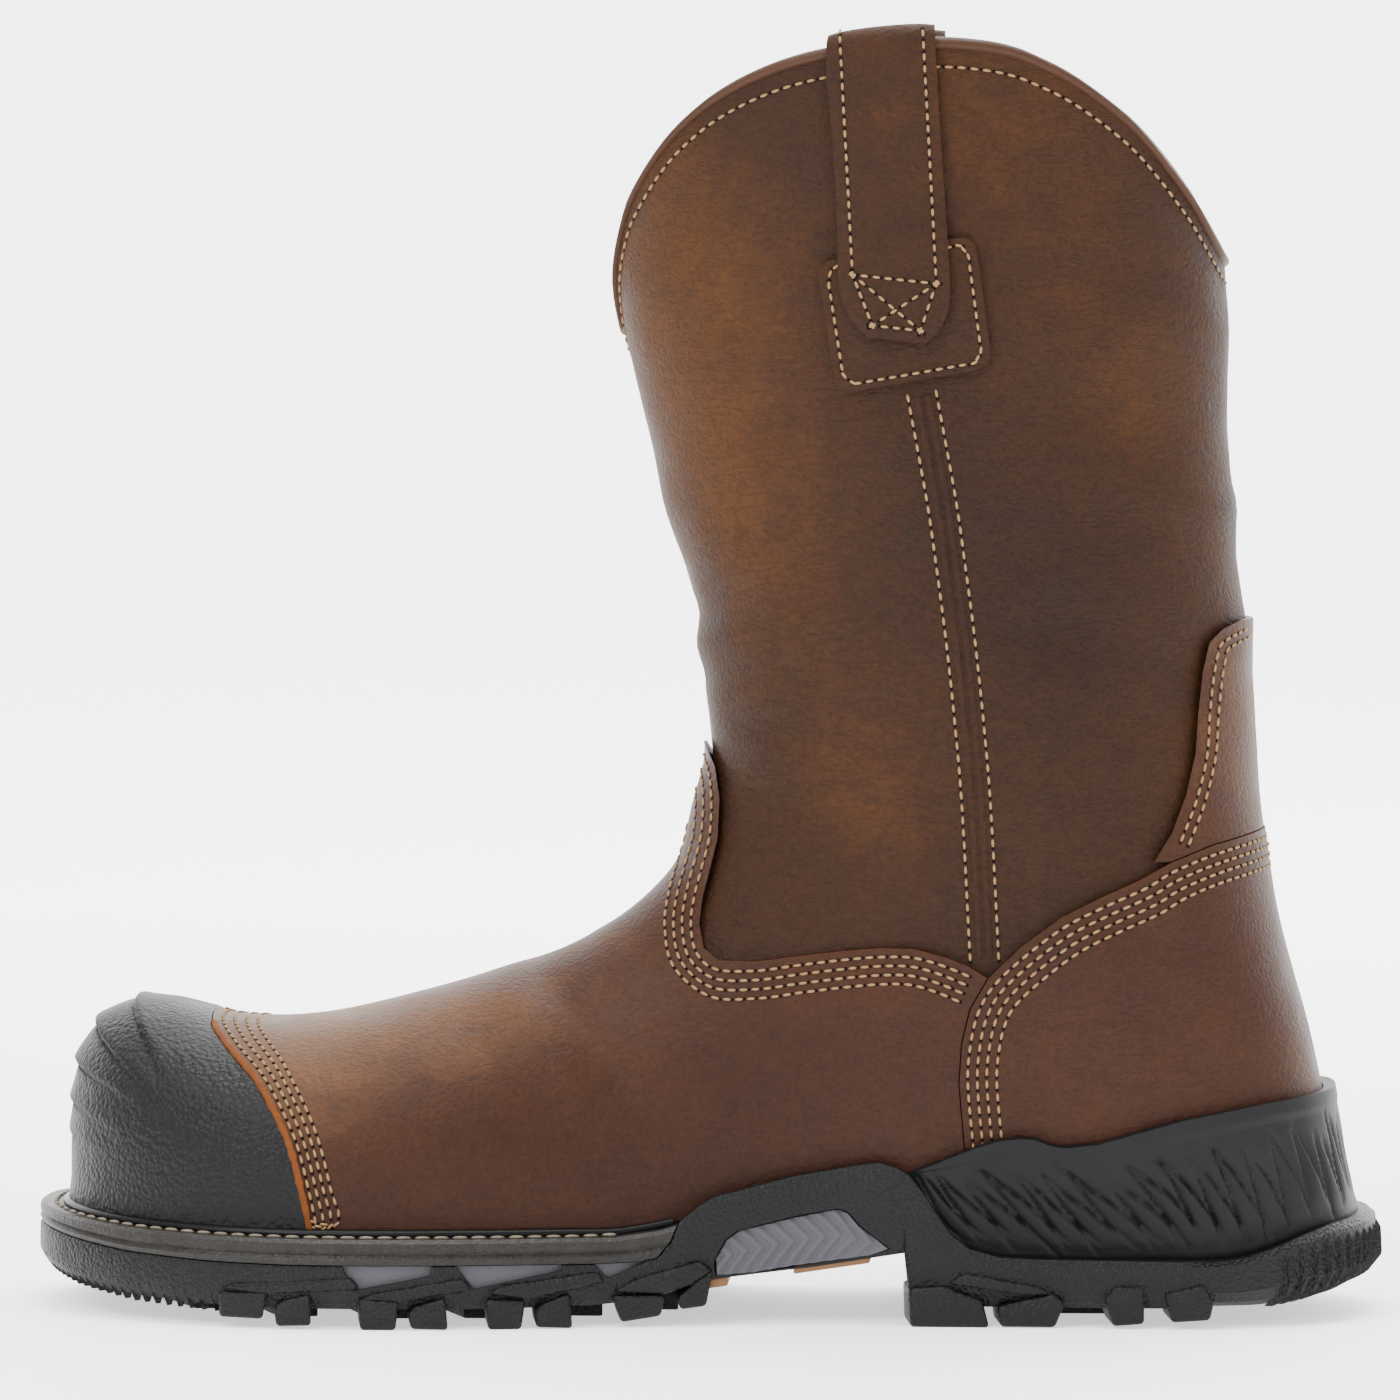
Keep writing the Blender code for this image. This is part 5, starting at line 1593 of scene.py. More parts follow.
@dataclass
class Straps:
    """Pull straps on both sides."""

    sizes: Sizes
    last: Last
    base: BVHTree
    wardrobe: Wardrobe
    tilt: float = math.radians(6)
    inside: float = 0.050
    columns: int = 15
    stitched: tuple[float, float] = (0.812, 1.004)
    stitch_inset: float = 0.0027
    cut_edges: float = 0.955
    box_foot: tuple[float, float] = (0.0055, 0.7745)
    made: dict[str, Piece] = field(default_factory=dict)

    def spot(self, x: float, z: float, side: int) -> tuple[Array, Array]:
        """Point of the shaft's side at an X and a height, and its level outward direction.

        Args:
            x: The X.
            z: The height.
            side: -1 or 1.

        Returns:
            The point and the direction.
        """
        here, normal, _, _ = self.base.ray_cast(Vector((x, side * OUTSIDE, z)),
                                                Vector((0.0, -side, 0.0)))
        out = Vector((normal.x, normal.y, 0.0)).normalized()
        return np.array(here), np.array(out if out.y * side > 0 else -out)

    def rim(self, x: float) -> float:
        """Height of the collar's edge.

        Args:
            x: Where along the boot.

        Returns:
            The height.
        """
        turns = np.linspace(0.0, 1.0, 60)
        line = self.last.point(self.last.edge(turns), turns)
        return float(np.interp(x, line[:, 0], line[:, 2]))

    def build(self, name: str, side: int) -> Piece:
        """Make one strap.

        Args:
            name: outer or inner.
            side: -1 or 1.

        Returns:
            The strap.
        """
        s = self.sizes
        hold = s.binding_radius + s.gap
        ease = s.wall / 2
        rows = smooth_rows(STRAP_LINE, np.linspace(0, len(STRAP_LINE) - 1, 30))
        faces: dict[str, list] = {"under": [], "over": []}
        for column in range(self.columns):
            across = 2 * column / (self.columns - 1) - 1
            path = []
            for along, rise, half in rows:
                reach = across * half * s.strap_width
                z = rise * s.boot_height - reach * math.tan(self.tilt)
                here, out = self.spot(s.x(along) + reach, z, side)
                lift = float(relief(s, here))
                blend = np.clip((rise - 0.842) / 0.025, 0.0, 1.0)
                stand = (1 - blend) * (s.vamp_thick + 2 * s.gap) + blend * (hold - ease)
                path.append((here + out * (stand + lift), out))
            top, out = path[-1]
            centre = top - out * hold
            centre[2] = self.rim(top[0]) + hold
            up = np.array([0.0, 0.0, 1.0])
            for k in range(11):
                angle = math.pi * k / 10
                lean = out * math.cos(angle) + up * math.sin(angle)
                path.append((centre + lean * hold, lean))
            for k in range(1, 7):
                here, away = self.spot(top[0], centre[2] - self.inside * k / 6, side)
                path.append((here - away * (s.wall + hold - ease), -away))
            crown = 1 - 0.18 * abs(across) ** 6
            faces["under"].append([p for p, _ in path])
            faces["over"].append([p + o * s.strap_thick * crown for p, o in path])
        shape = wall_between(np.array(faces["over"]), np.array(faces["under"]), 1)
        piece = new_piece(f"strap_{name}", shape, 50)
        self.wardrobe.dress(piece, ("shaft", "brown_edge"), Slot.SHAFT, (f"pull_strap_{name}",))
        for face in piece.data.polygons:
            _, normal, _, _ = self.base.find_nearest(face.center)
            low = face.center.z < self.cut_edges * s.boot_height
            if low and normal is not None and abs(face.normal.dot(normal)) < 0.5:
                face.material_index = 1
        paint_tone(s, piece)
        self.made[name] = piece
        return piece

    def stitch(self, stitching: Stitching) -> None:
        """Lay the edge rows and the boxed cross at the foot.

        Args:
            stitching: Makes the rows.
        """
        s = self.sizes
        skin = Skin(list(self.made.values()))
        low, high = self.stitched
        half = s.strap_width / 2 - self.stitch_inset
        alongs, rises, _ = zip(*STRAP_LINE)

        def place(across: float, rise: float) -> tuple[float, float]:
            """X and Z of a place on the strap."""
            along = float(np.interp(rise, rises, alongs))
            return s.x(along) + across, rise * s.boot_height - across * math.tan(self.tilt)

        foot, bottom = self.box_foot
        corners = [place(-half, low), place(half, low), place(foot, bottom), place(-foot, bottom)]
        lines = [[place(side, low), place(side, (low + high) / 2), place(side, high)]
                 for side in (-half, half)]
        lines += [[a, b] for a, b in zip(corners, corners[1:] + corners[:1])]
        lines += [[corners[0], corners[2]], [corners[1], corners[3]]]
        paths = [skin.path(line, side, 0.0027) for line in lines for side in (-1, 1)]
        stitching.rows("stitches_strap", paths, 0.0019, Slot.SHAFT)


Curve = Callable[[Array], Array]
Level = tuple[Curve, Curve]


def steady(value: float) -> Curve:
    """Curve with the same value everywhere."""
    return lambda x: np.full(np.shape(x), value) if np.ndim(x) else value


def ramp(places: Sequence[float], values: Sequence[float]) -> Callable[[float], float]:
    """Inset that runs straight between values at places along the sole."""
    return lambda along: float(np.interp(along, places, values))


def between(low: Curve, high: Curve, share: float) -> Curve:
    """Curve at a share of the way from one curve to another."""
    return lambda x: (1 - share) * low(x) + share * high(x)


@dataclass
class Sole:
    """Outsole, midsole, welt, heel cup, arch inserts and insole."""

    sizes: Sizes
    upper: Upper
    wardrobe: Wardrobe
    end_steps: int = 22
    station: float = 0.0028
    toe_teeth: tuple[int, float, float] = (57, 0.90, 0.0026)
    heel_teeth: tuple[int, float, float] = (23, 0.64, 0.0030)
    lug_bevel: float = 0.0009
    lug_root: float = 0.0011
    heel_pad: float = 0.015
    bead: tuple[float, float] = (0.0013, 0.0012)
    welt_thread: tuple[float, float] = (0.00055, 0.00045)
    welt_pitch: float = 0.0043
    cup_pivot: float = 0.022
    cup_radius: float = 0.043
    cup_grid: tuple[int, int] = (520, 64)
    groove_pitch: float = 0.0066
    groove_depth: float = 0.0011
    chevron_pitch: float = 0.0036
    chevron_depth: float = 0.0006

    def stations(self) -> list[float]:
        """Shares along the middle of the sole, denser where a side-view line turns."""
        s = self.sizes
        low = s.heel_round / s.sole_length
        high = 1 - s.toe_round / s.sole_length
        turns = {row[0] for table in (SPRING, FLOOR, WALL, SEAT) for row in table}
        marks = [high] + sorted((t for t in turns if low < t < high), reverse=True) + [low]
        found = [marks[0]]
        for start, end in zip(marks, marks[1:]):
            count = max(1, round((start - end) * s.sole_length / self.station))
            found += [start + (end - start) * (i + 1) / count for i in range(count)]
        return found

    def outline(self, inset: Callable[[float], float]) -> tuple[Array, Array]:
        """Outer and inner outline from toe to heel.

        Args:
            inset: How far the outline is drawn in, by share along.

        Returns:
            X and Y on the outer side, and on the inner side.
        """
        s = self.sizes
        places = []
        turns = [0.5 * math.pi * i / self.end_steps for i in range(self.end_steps)]
        toe, heel = inset(1.0), inset(0.0)
        places += [(s.x(1.0) + toe + (s.toe_round - toe) * (1 - math.cos(t)), toe)
                   for t in turns]
        places += [(s.x(a), inset(a)) for a in self.stations()]
        places += [(s.heel_back - heel - (s.heel_round - heel) * (1 - math.cos(t)), heel)
                   for t in reversed(turns)]
        x = np.array([p[0] for p in places])
        drawn = np.array([p[1] for p in places])
        outer, inner = s.plan(x, drawn)
        return np.stack([x, outer], axis=1), np.stack([x, inner], axis=1)

    def slab(self, name: str, levels: Sequence[Level]) -> Piece:
        """Solid between outlines of the sole.

        Args:
            name: The piece's name.
            levels: Inset and height functions of each level, lowest first.

        Returns:
            The closed solid.
        """
        outer_lines, inner_lines = [], []
        for inset, rise in levels:
            outer, inner = self.outline(inset)
            outer_lines.append(np.column_stack([outer, rise(outer[:, 0])]))
            inner_lines.append(np.column_stack([inner, rise(inner[:, 0])]))
        columns = outer_lines + inner_lines[::-1] + outer_lines[:1]
        return new_piece(name, close_up(sheet_from_grid(np.stack(columns, axis=1))))

    def tread(self, x: Array) -> Array:
        """Height of the outsole's underside between the lugs."""
        return self.sizes.lug_depth + self.sizes.height(SPRING, x)

    def block(self, shape: Shape, foot: Sequence, top: Sequence,
              bevel: float = 0.0004) -> None:
        """Add a bevelled six-sided block.

        Args:
            shape: The mesh that it joins.
            foot: Four corners of its lower face.
            top: Four corners of its upper face.
            bevel: Width of its bevels.
        """
        made = bmesh.ops.create_cube(shape, size=2.0)["verts"]
        order = {(-1, -1): 0, (1, -1): 1, (1, 1): 2, (-1, 1): 3}
        for vert in made:
            index = order[(round(vert.co.x), round(vert.co.y))]
            vert.co = foot[index] if vert.co.z < 0 else top[index]
        faces = {face for vert in made for face in vert.link_faces}
        bmesh.ops.recalc_face_normals(shape, faces=list(faces))
        edges = {edge for vert in made for edge in vert.link_edges}
        bmesh.ops.bevel(shape, geom=list(edges), offset=bevel, affect="EDGES", segments=2,
                        profile=0.5, material=-1, clamp_overlap=True)

    def foot_inset(self, along: float) -> float:
        """How far the sole's lower edge is drawn in."""
        return float(np.interp(along, (0.0, 0.12, 0.34), (0.008, 0.0022, 0.0022)))

    def ring_spot(self, toe: bool, turn: float, side: int, inset: float = 0.0) -> Array:
        """Place on a rounded end of the sole's outline, drawn in by an inset.

        Args:
            toe: Whether it is at the toe.
            turn: Angle from the sole's tip.
            side: 0 for the outer side, 1 for the inner.
            inset: How far it is drawn in.

        Returns:
            X and Y.
        """
        s = self.sizes
        tip, heel = (s.x(1.0), 1, s.toe_round), (s.heel_back, -1, s.heel_round)
        end, ahead, radius = tip if toe else heel
        x = end + ahead * (inset + (radius - inset) * (1 - math.cos(turn)))
        return np.array([x, float(s.plan(x, inset)[side])])

    def plate(self, shape: Shape, corners: Line, side: int, proud: float,
              depth: float, slant: float) -> None:
        """Add a bevelled plate with a side-view outline that follows the sole's side.

        Args:
            shape: The mesh that it joins.
            corners: X and Z of its outline.
            side: 0 for the outer side, 1 for the inner.
            proud: How far it stands out of the side.
            depth: How far it reaches in.
            slant: How much its outline shifts along X at the inner end.
        """
        s = self.sizes
        rings = []
        for inset, shift in ((-proud, 0.0), (depth, slant)):
            rings.append([shape.verts.new((x + shift, float(s.plan(x, inset)[side]), z))
                          for x, z in corners])
        faces = [shape.faces.new(rings[0]), shape.faces.new(rings[1][::-1])]
        count = len(corners)
        for i in range(count):
            j = (i + 1) % count
            faces.append(shape.faces.new((rings[0][j], rings[0][i], rings[1][i], rings[1][j])))
        bmesh.ops.recalc_face_normals(shape, faces=faces)
        edges = {edge for face in faces for edge in face.edges}
        bmesh.ops.bevel(shape, geom=list(edges), offset=self.lug_bevel, affect="EDGES", segments=3,
                        profile=0.5, material=-1, clamp_overlap=True)

    def lug_shapes(self) -> list[Shape]:
        """Meshes of lug feet, bars, middle lugs and end teeth, each free of overlaps."""
        s = self.sizes
        feet, bars, middles = (bmesh.new() for _ in range(3))
        for side in (0, 1):
            for shape, outlines, proud, depth, slant in (
                    (feet, LUG_FEET, s.rib_proud, s.lug_reach, -0.002),
                    (bars, LUG_BARS, s.rib_proud * 0.9, 0.0022, 0.0)):
                for corners in outlines:
                    line = [(s.x(along), z * MM) for along, z in corners]
                    self.plate(shape, line, side, proud, depth, slant)
        for along, length in MIDDLE_LUGS:
            half = length * s.ball_width / 2
            skew = 0.05 * s.ball_width
            x = s.x(along)
            outer, inner = (float(v) for v in s.plan(x, s.lug_reach * 1.35))
            centre = (outer + inner) / 2
            for edge, sign in ((outer, -1), (inner, 1)):
                start = centre + sign * s.lug_depth * 0.6
                z = float(self.tread(x)) - s.lug_depth
                foot = [(x - half - skew, start, z), (x + half - skew, start, z),
                        (x + half + skew, edge, z), (x - half + skew, edge, z)]
                top = [(px, py, float(self.tread(px)) + self.lug_root) for px, py, _ in foot]
                self.block(middles, foot, top)
        pad = self.heel_pad
        foot = [(-pad, -pad, 0.0), (pad, -pad, 0.0), (pad, pad, 0.0), (-pad, pad, 0.0)]
        top = [(x, y, s.lug_depth + self.lug_root) for x, y, _ in foot]
        self.block(middles, foot, top)
        return [feet, bars, middles, self.teeth(True, *self.toe_teeth),
                self.teeth(False, *self.heel_teeth)]

    def teeth(self, toe: bool, count: int, widest: float, width: float) -> Shape:
        """Teeth round one end of the sole.

        Args:
            toe: Whether they are at the toe.
            count: How many.
            widest: How far round they go, as a share of the rounded end.
            width: Width of a tooth.

        Returns:
            Their mesh.
        """
        s = self.sizes
        shape = bmesh.new()
        for index in range(count):
            share = (2 * index / (count - 1) - 1) * widest
            turn = abs(share) * math.pi / 2
            side = 1 if share > 0 else 0
            near = self.ring_spot(toe, turn, side)
            flow = self.ring_spot(toe, turn + 0.02, side) - near
            flow /= np.linalg.norm(flow)
            out = np.array([flow[1], -flow[0]])
            if out[0] * (1 if toe else -1) > 0:
                out = -out
            base = float(self.tread(near[0]))
            tall = float(s.height(WALL, near[0])) - base
            foot = self.foot_inset(float(s.along(near[0])))
            rings = []
            for rise, inset, proud, wide in (TOE_TOOTH if toe else HEEL_TOOTH):
                spot = self.ring_spot(toe, turn, side, inset * foot)
                z = base + rise * tall
                rings.append([
                    (*(spot + flow * width * edge * wide / 2 + out * MM * depth), z)
                    for edge, depth in ((-1, -1.6), (0, proud), (1, -1.6))])
            grid = np.array([ring + ring[:1] for ring in rings])
            tooth = close_up(sheet_from_grid(grid))
            mesh = bpy.data.meshes.new("tooth")
            tooth.to_mesh(mesh)
            tooth.free()
            shape.from_mesh(mesh)
            bpy.data.meshes.remove(mesh)
        return shape

    def well_inset(self, thin: float, thick: float, heel_start: float, heel_end: float,
                   core: float = 0.0125) -> Callable[[float], float]:
        """Inset that is thin by the windows, thick at the waist and a core at the heel."""
        return ramp((heel_end, heel_start, 0.53, 0.545), (core, thick, thick, thin))

    def build_outsole(self) -> None:
        """Rubber bottom with windows, lugs, teeth and heel kick."""
        s = self.sizes
        wall = s.level(WALL)
        flank = between(self.tread, wall, 0.35)
        top_inset = ramp((0.0, 0.12, 0.54), (0.0022, 0.0006, 0.0006))
        body = self.slab("outsole_rubber", (
            (self.foot_inset, self.tread),
            (lambda along: 0.35 * self.foot_inset(along), between(self.tread, flank, 0.4)),
            (steady(0.0), flank),
            (lambda along: 0.2 * top_inset(along), between(flank, wall, 0.85)),
            (top_inset, wall),
        ))
        hollow = self.well_inset(0.0016, 0.0032, 0.345, 0.30)
        well = self.slab("well", ((hollow, s.level(FLOOR)),
                                  (hollow, steady(2 * s.seat_height))))
        combine(body, well, "DIFFERENCE")
        foot = self.upper.form(s.counter_thick + 2 * s.gap)
        combine(foot, s.under_seat(-s.gap), "DIFFERENCE")
        combine(body, foot, "DIFFERENCE")
        for corners in WINDOWS + (ARCH_WINDOW,):
            combine(body, prism(s.side(corners, sole=True)), "DIFFERENCE")
        for shape in self.lug_shapes():
            bmesh.ops.recalc_face_normals(shape, faces=shape.faces)
            combine(body, new_piece("lugs", shape), "UNION")
        shade(body.data, 28)
        self.wardrobe.dress(body, ("sole",), Slot.SOLE, ("outsole",))

    def build_welt(self) -> None:
        """Welt, and the glossy bead against the upper."""
        s = self.sizes
        wall, high = s.level(WALL, s.gap), s.level(SEAT, -s.gap)

        def low(x: Array) -> Array:
            """Underside, on the wall's top ahead and buried in the arch behind."""
            return np.where(s.along(x) > 0.532, wall(x), 0.455 * s.seat_height)

        profile = ((0.0006, 0.0), (0.0001, 0.20), (0.0008, 0.38), (0.0001, 0.55),
                   (0.0002, 0.85), (0.0011, 1.0))
        piece = self.slab("welt_strip", [(steady(inset), between(low, high, share))
                                         for inset, share in profile])
        drawn = steady(s.welt_width)
        hole = self.slab("hole", ((drawn, steady(0.0)), (drawn, steady(CLEAR))))
        combine(piece, hole, "DIFFERENCE")
        line = [p for p in s.side([r for r in reversed(WALL) if r[0] <= 0.540], sole=True)]
        line = [p for p in offset_line(line, s.gap) if p[0] < s.x(0.48)]
        end = line[-1][0]
        behind = s.heel_back + 0.1088
        corners = line + [(end, 0.108), (behind, 0.108), (behind, -CLEAR),
                          (line[0][0], -CLEAR)]
        combine(piece, prism(corners), "DIFFERENCE")
        shade(piece.data, 30)
        self.wardrobe.dress(piece, ("welt",), Slot.WELT, ("welt",))

        fine = self.round_toe(s.welt_ledge - 0.0012, 0.515, 0.0002, 0.003)
        ahead = np.gradient(fine, axis=0)
        ahead /= np.linalg.norm(ahead, axis=1, keepdims=True)
        up = np.array([0.0, 0.0, 1.0])
        side = np.cross(ahead, up)
        ring = tube(fine, self.bead[0] * side, self.bead[1] * up, 11)
        bead = new_piece("welt_bead", close_up(sheet_from_grid(ring)), 60)
        self.wardrobe.dress(bead, ("bead",), Slot.WELT)

    def round_toe(self, inset: float, end: float, lift: float, step: float) -> Array:
        """Points along the welt's top, from one side round the toe to the other.

        Args:
            inset: How far they are drawn in from the sole's outline.
            end: Share of the sole's length at which they end.
            lift: Their height over the seat.
            step: Distance between them.

        Returns:
            The points.
        """
        outer, inner = self.outline(steady(inset))
        path = np.concatenate([outer[::-1], inner[1:]])
        path = path[path[:, 0] < self.sizes.x(end)]
        spots = np.column_stack([path, self.sizes.height(SEAT, path[:, 0]) + lift])
        return resample([tuple(p) for p in spots[::3]], step)

    def stitch_welt(self) -> None:
        """Row of thick stitches on the welt's top."""
        line = self.round_toe(self.sizes.welt_ledge / 2, 0.545, -self.sizes.gap,
                              self.welt_pitch)
        up = Vector((0.0, 0.0, 1.0))
        rows = [(Vector(here), up, (Vector(after) - Vector(before)).normalized())
                for before, here, after in zip(line[:-2], line[1:-1], line[2:])]
        thick = Stitching(self.wardrobe, *self.welt_thread, "pale_thread")
        thick.rows("stitches_welt", [rows], 0.0036, Slot.WELT)

    def build_midsole(self) -> None:
        """Grey layer seen in the windows, and the arch inserts with their chevrons."""
        s = self.sizes
        drawn = self.well_inset(0.0019, 0.0035, 0.372, 0.348)

        def lower(along: float) -> float:
            """Inset of the foam, a gap more under the heel."""
            return drawn(along) + (s.gap if along < 0.345 else 0.0)

        def upper(along: float) -> float:
            """Inset of its crown, inside the welt ahead of the arch."""
            return max(lower(along), float(np.interp(along, (0.48, 0.50), (0.0, 0.0163))))

        piece = self.slab("midsole_foam", (
            (lower, s.level(FLOOR, s.gap)),
            (lower, lambda x: np.minimum(s.height(WALL, x), s.height(SEAT, x) - s.gap))))
        crown = self.slab("crown", ((upper, s.level(FLOOR, 4 * s.gap)),
                                    (upper, s.level(SEAT, -s.gap))))
        combine(piece, crown, "UNION")
        self.wardrobe.dress(piece, ("grey",), Slot.GREY, ("midsole",))
        corners = s.side(ARCH_WINDOW, sole=True)
        centre = np.mean(corners, axis=0)
        fit = []
        for spot in corners:
            reach = np.array(spot) - centre
            fit.append(tuple(centre + reach * (1 - 1.6 * s.gap / np.linalg.norm(reach))))
        for name, side in (("outer", 0), ("inner", 1)):
            sign = (-1, 1)[side]
            xs = np.linspace(s.x(0.492), s.x(0.352), 130)
            zs = np.linspace(0.008, 0.030, 90)
            grid_x, grid_z = np.meshgrid(xs, zs)
            face = s.plan(grid_x, 0.0008)[side]
            middle = 0.5 * (s.height(ARCH_TOP, grid_x) + s.height(ARCH_LOW, grid_x))
            wave = (grid_x + 0.9 * np.abs(grid_z - middle)) / self.chevron_pitch
            rib = np.abs((wave % 1.0) - 0.5) * 2
            face = face - sign * self.chevron_depth * np.clip(1.4 - 2.0 * rib, 0.0, 1.0)
            back = s.plan(grid_x, 0.0029)[side]
            front = np.stack([grid_x, face, grid_z], axis=2)
            rear = np.stack([grid_x, back, grid_z], axis=2)
            plate = new_piece(f"arch_insert_{name}_foam", wall_between(front, rear, 1))
            combine(plate, prism(fit), "INTERSECT")
            self.wardrobe.dress(plate, ("grey",), Slot.GREY, (f"arch_insert_{name}",))

    def cup_grooves(self, run: Array, share: Array, rise: Array) -> Array:
        """Slanted crossing grooves and the raised upper rim of the heel cup.

        Args:
            run: Distance from the cup's front end.
            share: Height as a share of the cup's.
            rise: Height over the cup's middle.

        Returns:
            Added height in metres.
        """
        lean = np.interp(run, (0.00, 0.05, 0.085, 0.12), (1.30, 1.10, 0.62, 0.22))
        pitch = self.groove_pitch
        total = np.zeros(np.broadcast(run, share).shape)
        for phase, tilt in ((0.0, 0.62), (0.45, 1.10)):
            wave = (run + lean * tilt * rise) / pitch + phase
            off = ((wave % 1.0) - 0.4) * pitch
            cell = np.floor(wave)
            centre = 0.45 + 0.07 * np.sin(cell * 2.4 + phase * 9)
            reach = 0.34 + 0.05 * np.sin(cell * 1.7 + phase * 5)
            fade = np.clip(1 - ((share - centre) / reach) ** 2, 0.0, 1.0)
            sharp = np.exp(-(np.minimum(off, 0.0) / 0.00040) ** 2)
            scoop = np.exp(-np.maximum(off, 0.0) / (0.0004 + 0.0009 * fade))
            total -= self.groove_depth * fade ** 0.8 * np.where(off < 0, sharp, scoop)
        rim = np.clip((share - 0.86) / 0.05, 0.0, 1.0)
        foot = np.clip((0.10 - share) / 0.05, 0.0, 1.0)
        return total + 0.0004 * rim + 0.0003 * foot

    def build_heel_cup(self) -> None:
        """Stabiliser round the heel with its crossing grooves."""
        s = self.sizes
        front = s.x(CUP_TOP[0][0])
        pivot = self.cup_pivot
        columns, rows = self.cup_grid
        straight = pivot - front
        total = straight + 0.5 * math.pi * self.cup_radius
        cup_rows = [(s.x(r[0]), r[1] * s.boot_height) for r in CUP_TOP]
        base = np.zeros((rows, columns, 3))
        runs = np.zeros(columns)
        for column in range(columns):
            place = 2 * column / (columns - 1) - 1
            run = (1 - abs(place)) * total
            side = -1.0 if place < 0 else 1.0
            runs[column] = run
            if run < straight:
                centre, out = Vector((front + run, 0.0, 0.0)), Vector((0.0, side, 0.0))
            else:
                turn = (run - straight) / (total - straight) * 0.5 * math.pi
                centre = Vector((pivot, 0.0, 0.0))
                out = Vector((math.sin(turn), side * math.cos(turn), 0.0))
            start = centre + out * OUTSIDE
            x = centre.x
            for _ in range(3):
                low = float(s.height(WALL, x)) + 2 * s.gap
                high = float(np.interp(x, [c[0] for c in cup_rows], [c[1] for c in cup_rows]))
                middle = Vector((start.x, start.y, 0.5 * (low + high)))
                x = self.upper.base_tree.ray_cast(middle, -out)[0].x
            for row in range(rows):
                z = low + (max(high, low + 0.0004) - low) * row / (rows - 1)
                spot = self.upper.base_tree.ray_cast(Vector((start.x, start.y, z)), -out)[0]
                base[row, column] = spot
        out = self.upper.last.outward(base, closed=False)
        share = np.linspace(0.0, 1.0, rows)[:, None]
        rise = base[..., 2] - 0.5 * (base[0, :, 2] + base[-1, :, 2])
        inner = s.counter_thick + 2 * s.gap
        taper = np.clip(runs / 0.004, 0.25, 1.0)
        thick = s.cup_thick * taper + self.cup_grooves(runs[None, :], share, rise) * taper
        face = base + out * (inner + thick)[..., None]
        back = base + out * inner
        piece = new_piece("heel_cup_rubber", wall_between(face, back, 0), 50)
        self.wardrobe.dress(piece, ("cup",), Slot.CUP, ("heel_cup",))

    def build_gum(self) -> None:
        """Amber gum that shows under the arch."""
        s = self.sizes
        shape = bmesh.new()
        for start, end, drop in ((0.429, 0.373, 0.0012), (0.492, 0.477, 0.0020)):
            corners = []
            for lift in (-drop, 0.0008):
                row = []
                for along, side in ((start, 0), (end, 0), (end, 1), (start, 1)):
                    x = s.x(along)
                    row.append((x, float(s.plan(x, 0.0025)[side]), float(self.tread(x)) + lift))
                corners.append(row)
            self.block(shape, corners[0], corners[1])
        bmesh.ops.recalc_face_normals(shape, faces=shape.faces)
        piece = new_piece("arch_gum", shape)
        self.wardrobe.dress(piece, ("gum",), Slot.SOLE)

    def build_insole(self) -> None:
        """Footbed, from the CAD node."""
        node = bpy.data.objects.get("insole")
        if node is not None:
            node.data.materials.clear()
            node.data.materials.append(self.wardrobe.get("insole"))


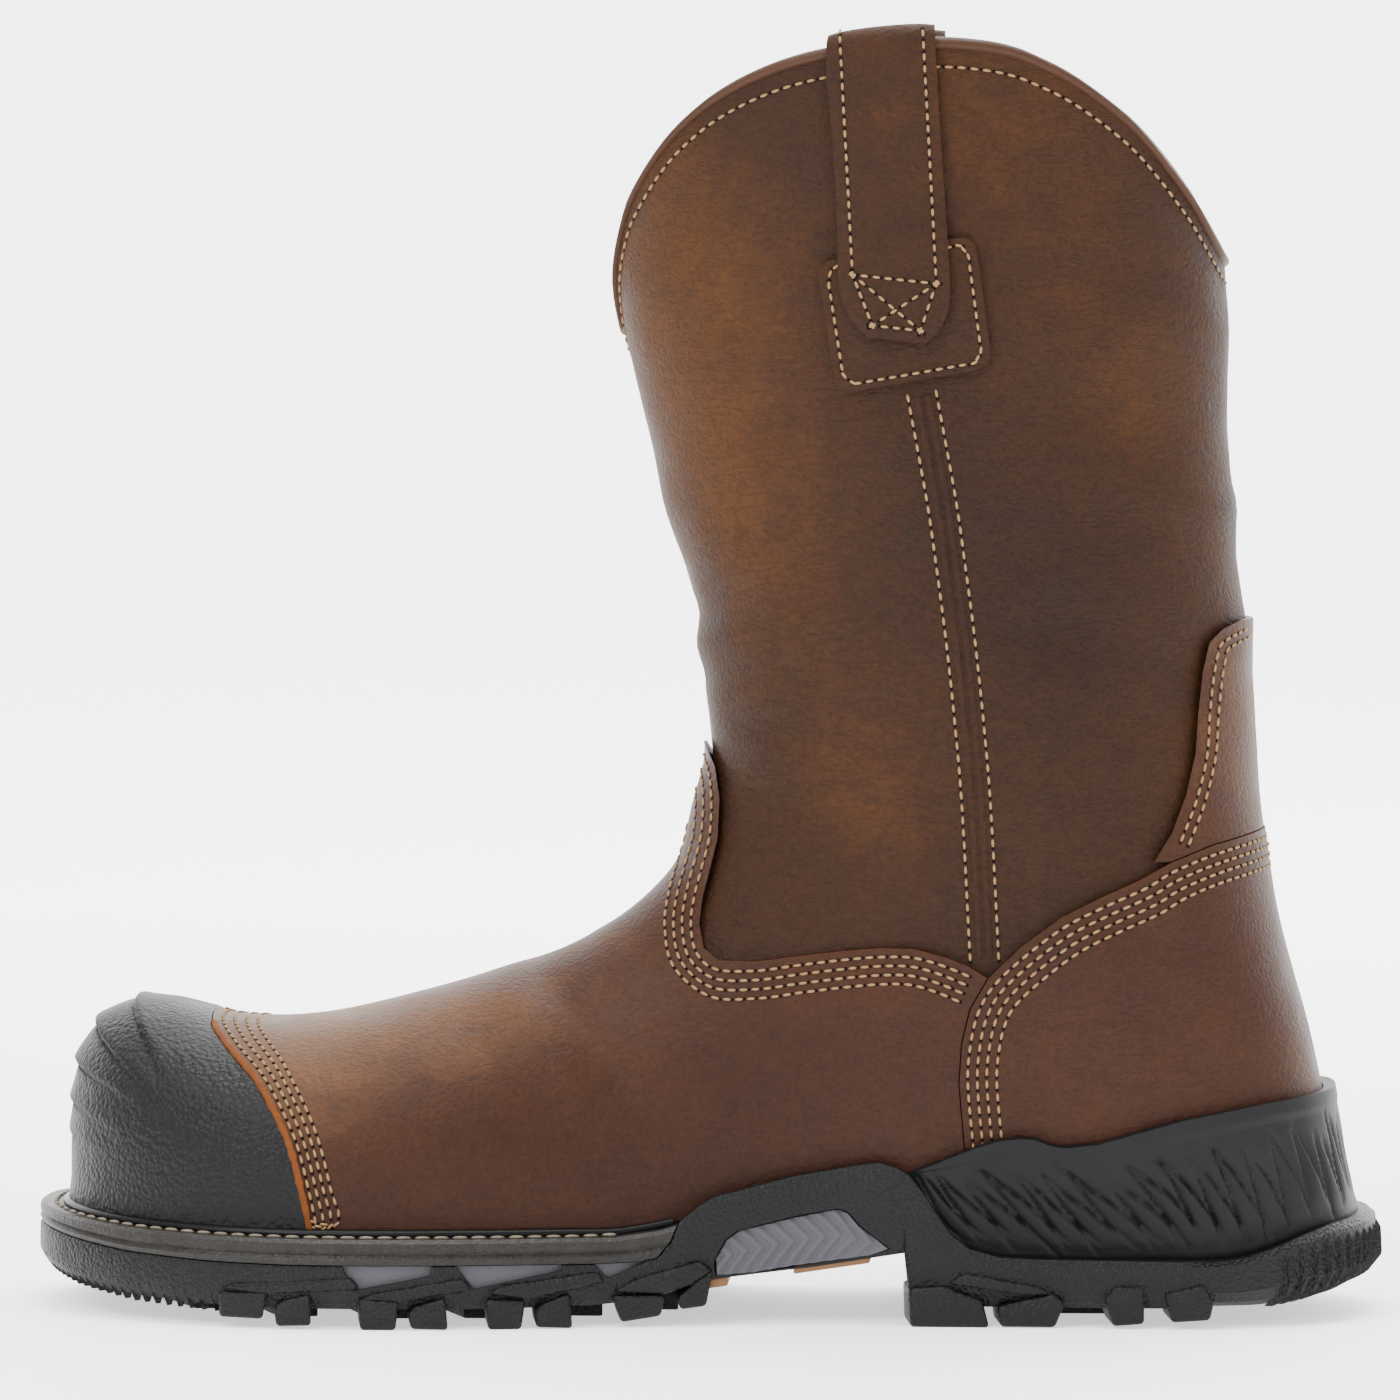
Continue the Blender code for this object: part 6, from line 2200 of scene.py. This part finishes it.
@dataclass
class Studio:
    """Floor, lights and camera.

    The sweep is given by its bend, the depth of its flat behind and in front, its height and half
    its width. The floor's glow rises from near to far between the two depths of fade.
    """

    wardrobe: Wardrobe
    target: tuple[float, float, float] = (-0.0881, 0.0, 0.1426)
    distance: float = 2.2
    azimuth: float = 3.0
    elevation: float = 3.2
    lens: float = 240.7
    glow: float = 2.6
    floor_glow: float = 0.9
    sky: float = 1.2
    sweep: tuple[float, float, float, float, float] = (1.6, 2.0, 6.0, 6.0, 8.0)
    fade: tuple[float, float] = (0.1, 1.2)
    aim: tuple[float, float, float] = (-0.08, 0.0, 0.12)
    lamps: tuple[tuple[str, tuple[float, float, float], float, float], ...] = (
        ("key", (-1.1, -1.5, 1.7), 1.2, 48.0),
        ("fill", (1.5, -1.3, 0.9), 1.6, 12.0),
        ("top", (0.0, 0.2, 2.2), 1.6, 82.0),
        ("rim", (0.6, 1.5, 1.0), 1.2, 14.0),
    )

    def build(self) -> None:
        """Make the floor, the lights and the camera."""
        self.build_floor()
        self.build_lights()
        self.build_camera()

    def build_floor(self) -> None:
        """Pale sweep whose glow rises towards the back."""
        turns = np.linspace(0.0, 0.5 * math.pi, 25)
        bend, flat, front, top, half = self.sweep
        line = [(-front, 0.0)]
        line += [(flat + bend * math.sin(a), bend * (1 - math.cos(a))) for a in turns]
        line += [(flat + bend, top)]
        grid = np.array([[(-half, y, z), (half, y, z)] for y, z in line])
        floor = new_piece("studio_floor", sheet_from_grid(grid))
        surface = self.wardrobe.get("floor")
        tree = surface.node_tree
        paint = tree.nodes["Principled BSDF"]
        paint.inputs["Emission Color"].default_value = (1.0, 1.0, 1.0, 1.0)
        coords = tree.nodes.new("ShaderNodeTexCoord")
        parts = tree.nodes.new("ShaderNodeSeparateXYZ")
        reach = tree.nodes.new("ShaderNodeMapRange")
        limits = (*self.fade, self.floor_glow, self.glow)
        for key, value in zip(("From Min", "From Max", "To Min", "To Max"), limits):
            reach.inputs[key].default_value = value
        link(tree, coords.outputs["Object"], parts.inputs["Vector"])
        link(tree, parts.outputs["Y"], reach.inputs["Value"])
        link(tree, reach.outputs["Result"], paint.inputs["Emission Strength"])
        floor.data.materials.append(surface)

    def build_lights(self) -> None:
        """Soft lamps that look at the boot, and the sky."""
        for name, place, size, power in self.lamps:
            light = bpy.data.lights.new(name, "AREA")
            light.energy = power
            light.size = size
            lamp = place_object(name, light)
            lamp.location = place
            aim = Vector(self.aim) - Vector(place)
            lamp.rotation_euler = aim.to_track_quat("-Z", "Y").to_euler()
        world = bpy.data.worlds.new("studio_world")
        world.use_nodes = True
        sky = world.node_tree.nodes["Background"]
        sky.inputs["Color"].default_value = (1, 1, 1, 1)
        sky.inputs["Strength"].default_value = self.sky
        bpy.context.scene.world = world

    def build_camera(self) -> None:
        """Camera at the photo's angle."""
        camera = bpy.data.cameras.new("camera")
        camera.lens = self.lens
        camera.clip_end = 50.0
        eye = place_object("camera", camera)
        turn, rise = math.radians(self.azimuth), math.radians(self.elevation)
        back = Vector((math.sin(turn) * math.cos(rise), -math.cos(turn) * math.cos(rise),
                       math.sin(rise)))
        eye.location = Vector(self.target) + back * self.distance
        eye.rotation_euler = (-back).to_track_quat("-Z", "Y").to_euler()
        bpy.context.scene.camera = eye


def main() -> None:
    """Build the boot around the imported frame."""
    logging.basicConfig(level=logging.INFO, format="%(name)s %(message)s")
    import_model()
    sizes = Sizes()
    wardrobe = Wardrobe()
    last = Last(sizes)
    Studio(wardrobe).build()
    upper = Upper(sizes, last, wardrobe)
    upper.build_shaft()
    upper.build_panels()
    upper.build_binding()
    skin = Skin([upper.made[key] for key in ("shaft", "vamp", "counter", "backstay",
                                             "strap_patch_outer", "strap_patch_inner")])
    upper.build_seams(skin)
    upper.build_cap_edge(skin)
    stitching = Stitching(wardrobe)
    stitches = Stitches(sizes, skin, stitching)
    stitches.build()
    stitches.build_collar(upper)
    straps = Straps(sizes, last, upper.base_tree, wardrobe)
    for name, side in (("outer", -1), ("inner", 1)):
        straps.build(name, side)
    straps.stitch(stitching)
    sole = Sole(sizes, upper, wardrobe)
    sole.build_outsole()
    sole.build_welt()
    sole.stitch_welt()
    sole.build_midsole()
    sole.build_heel_cup()
    sole.build_gum()
    sole.build_insole()


if __name__ == "__main__":
    main()
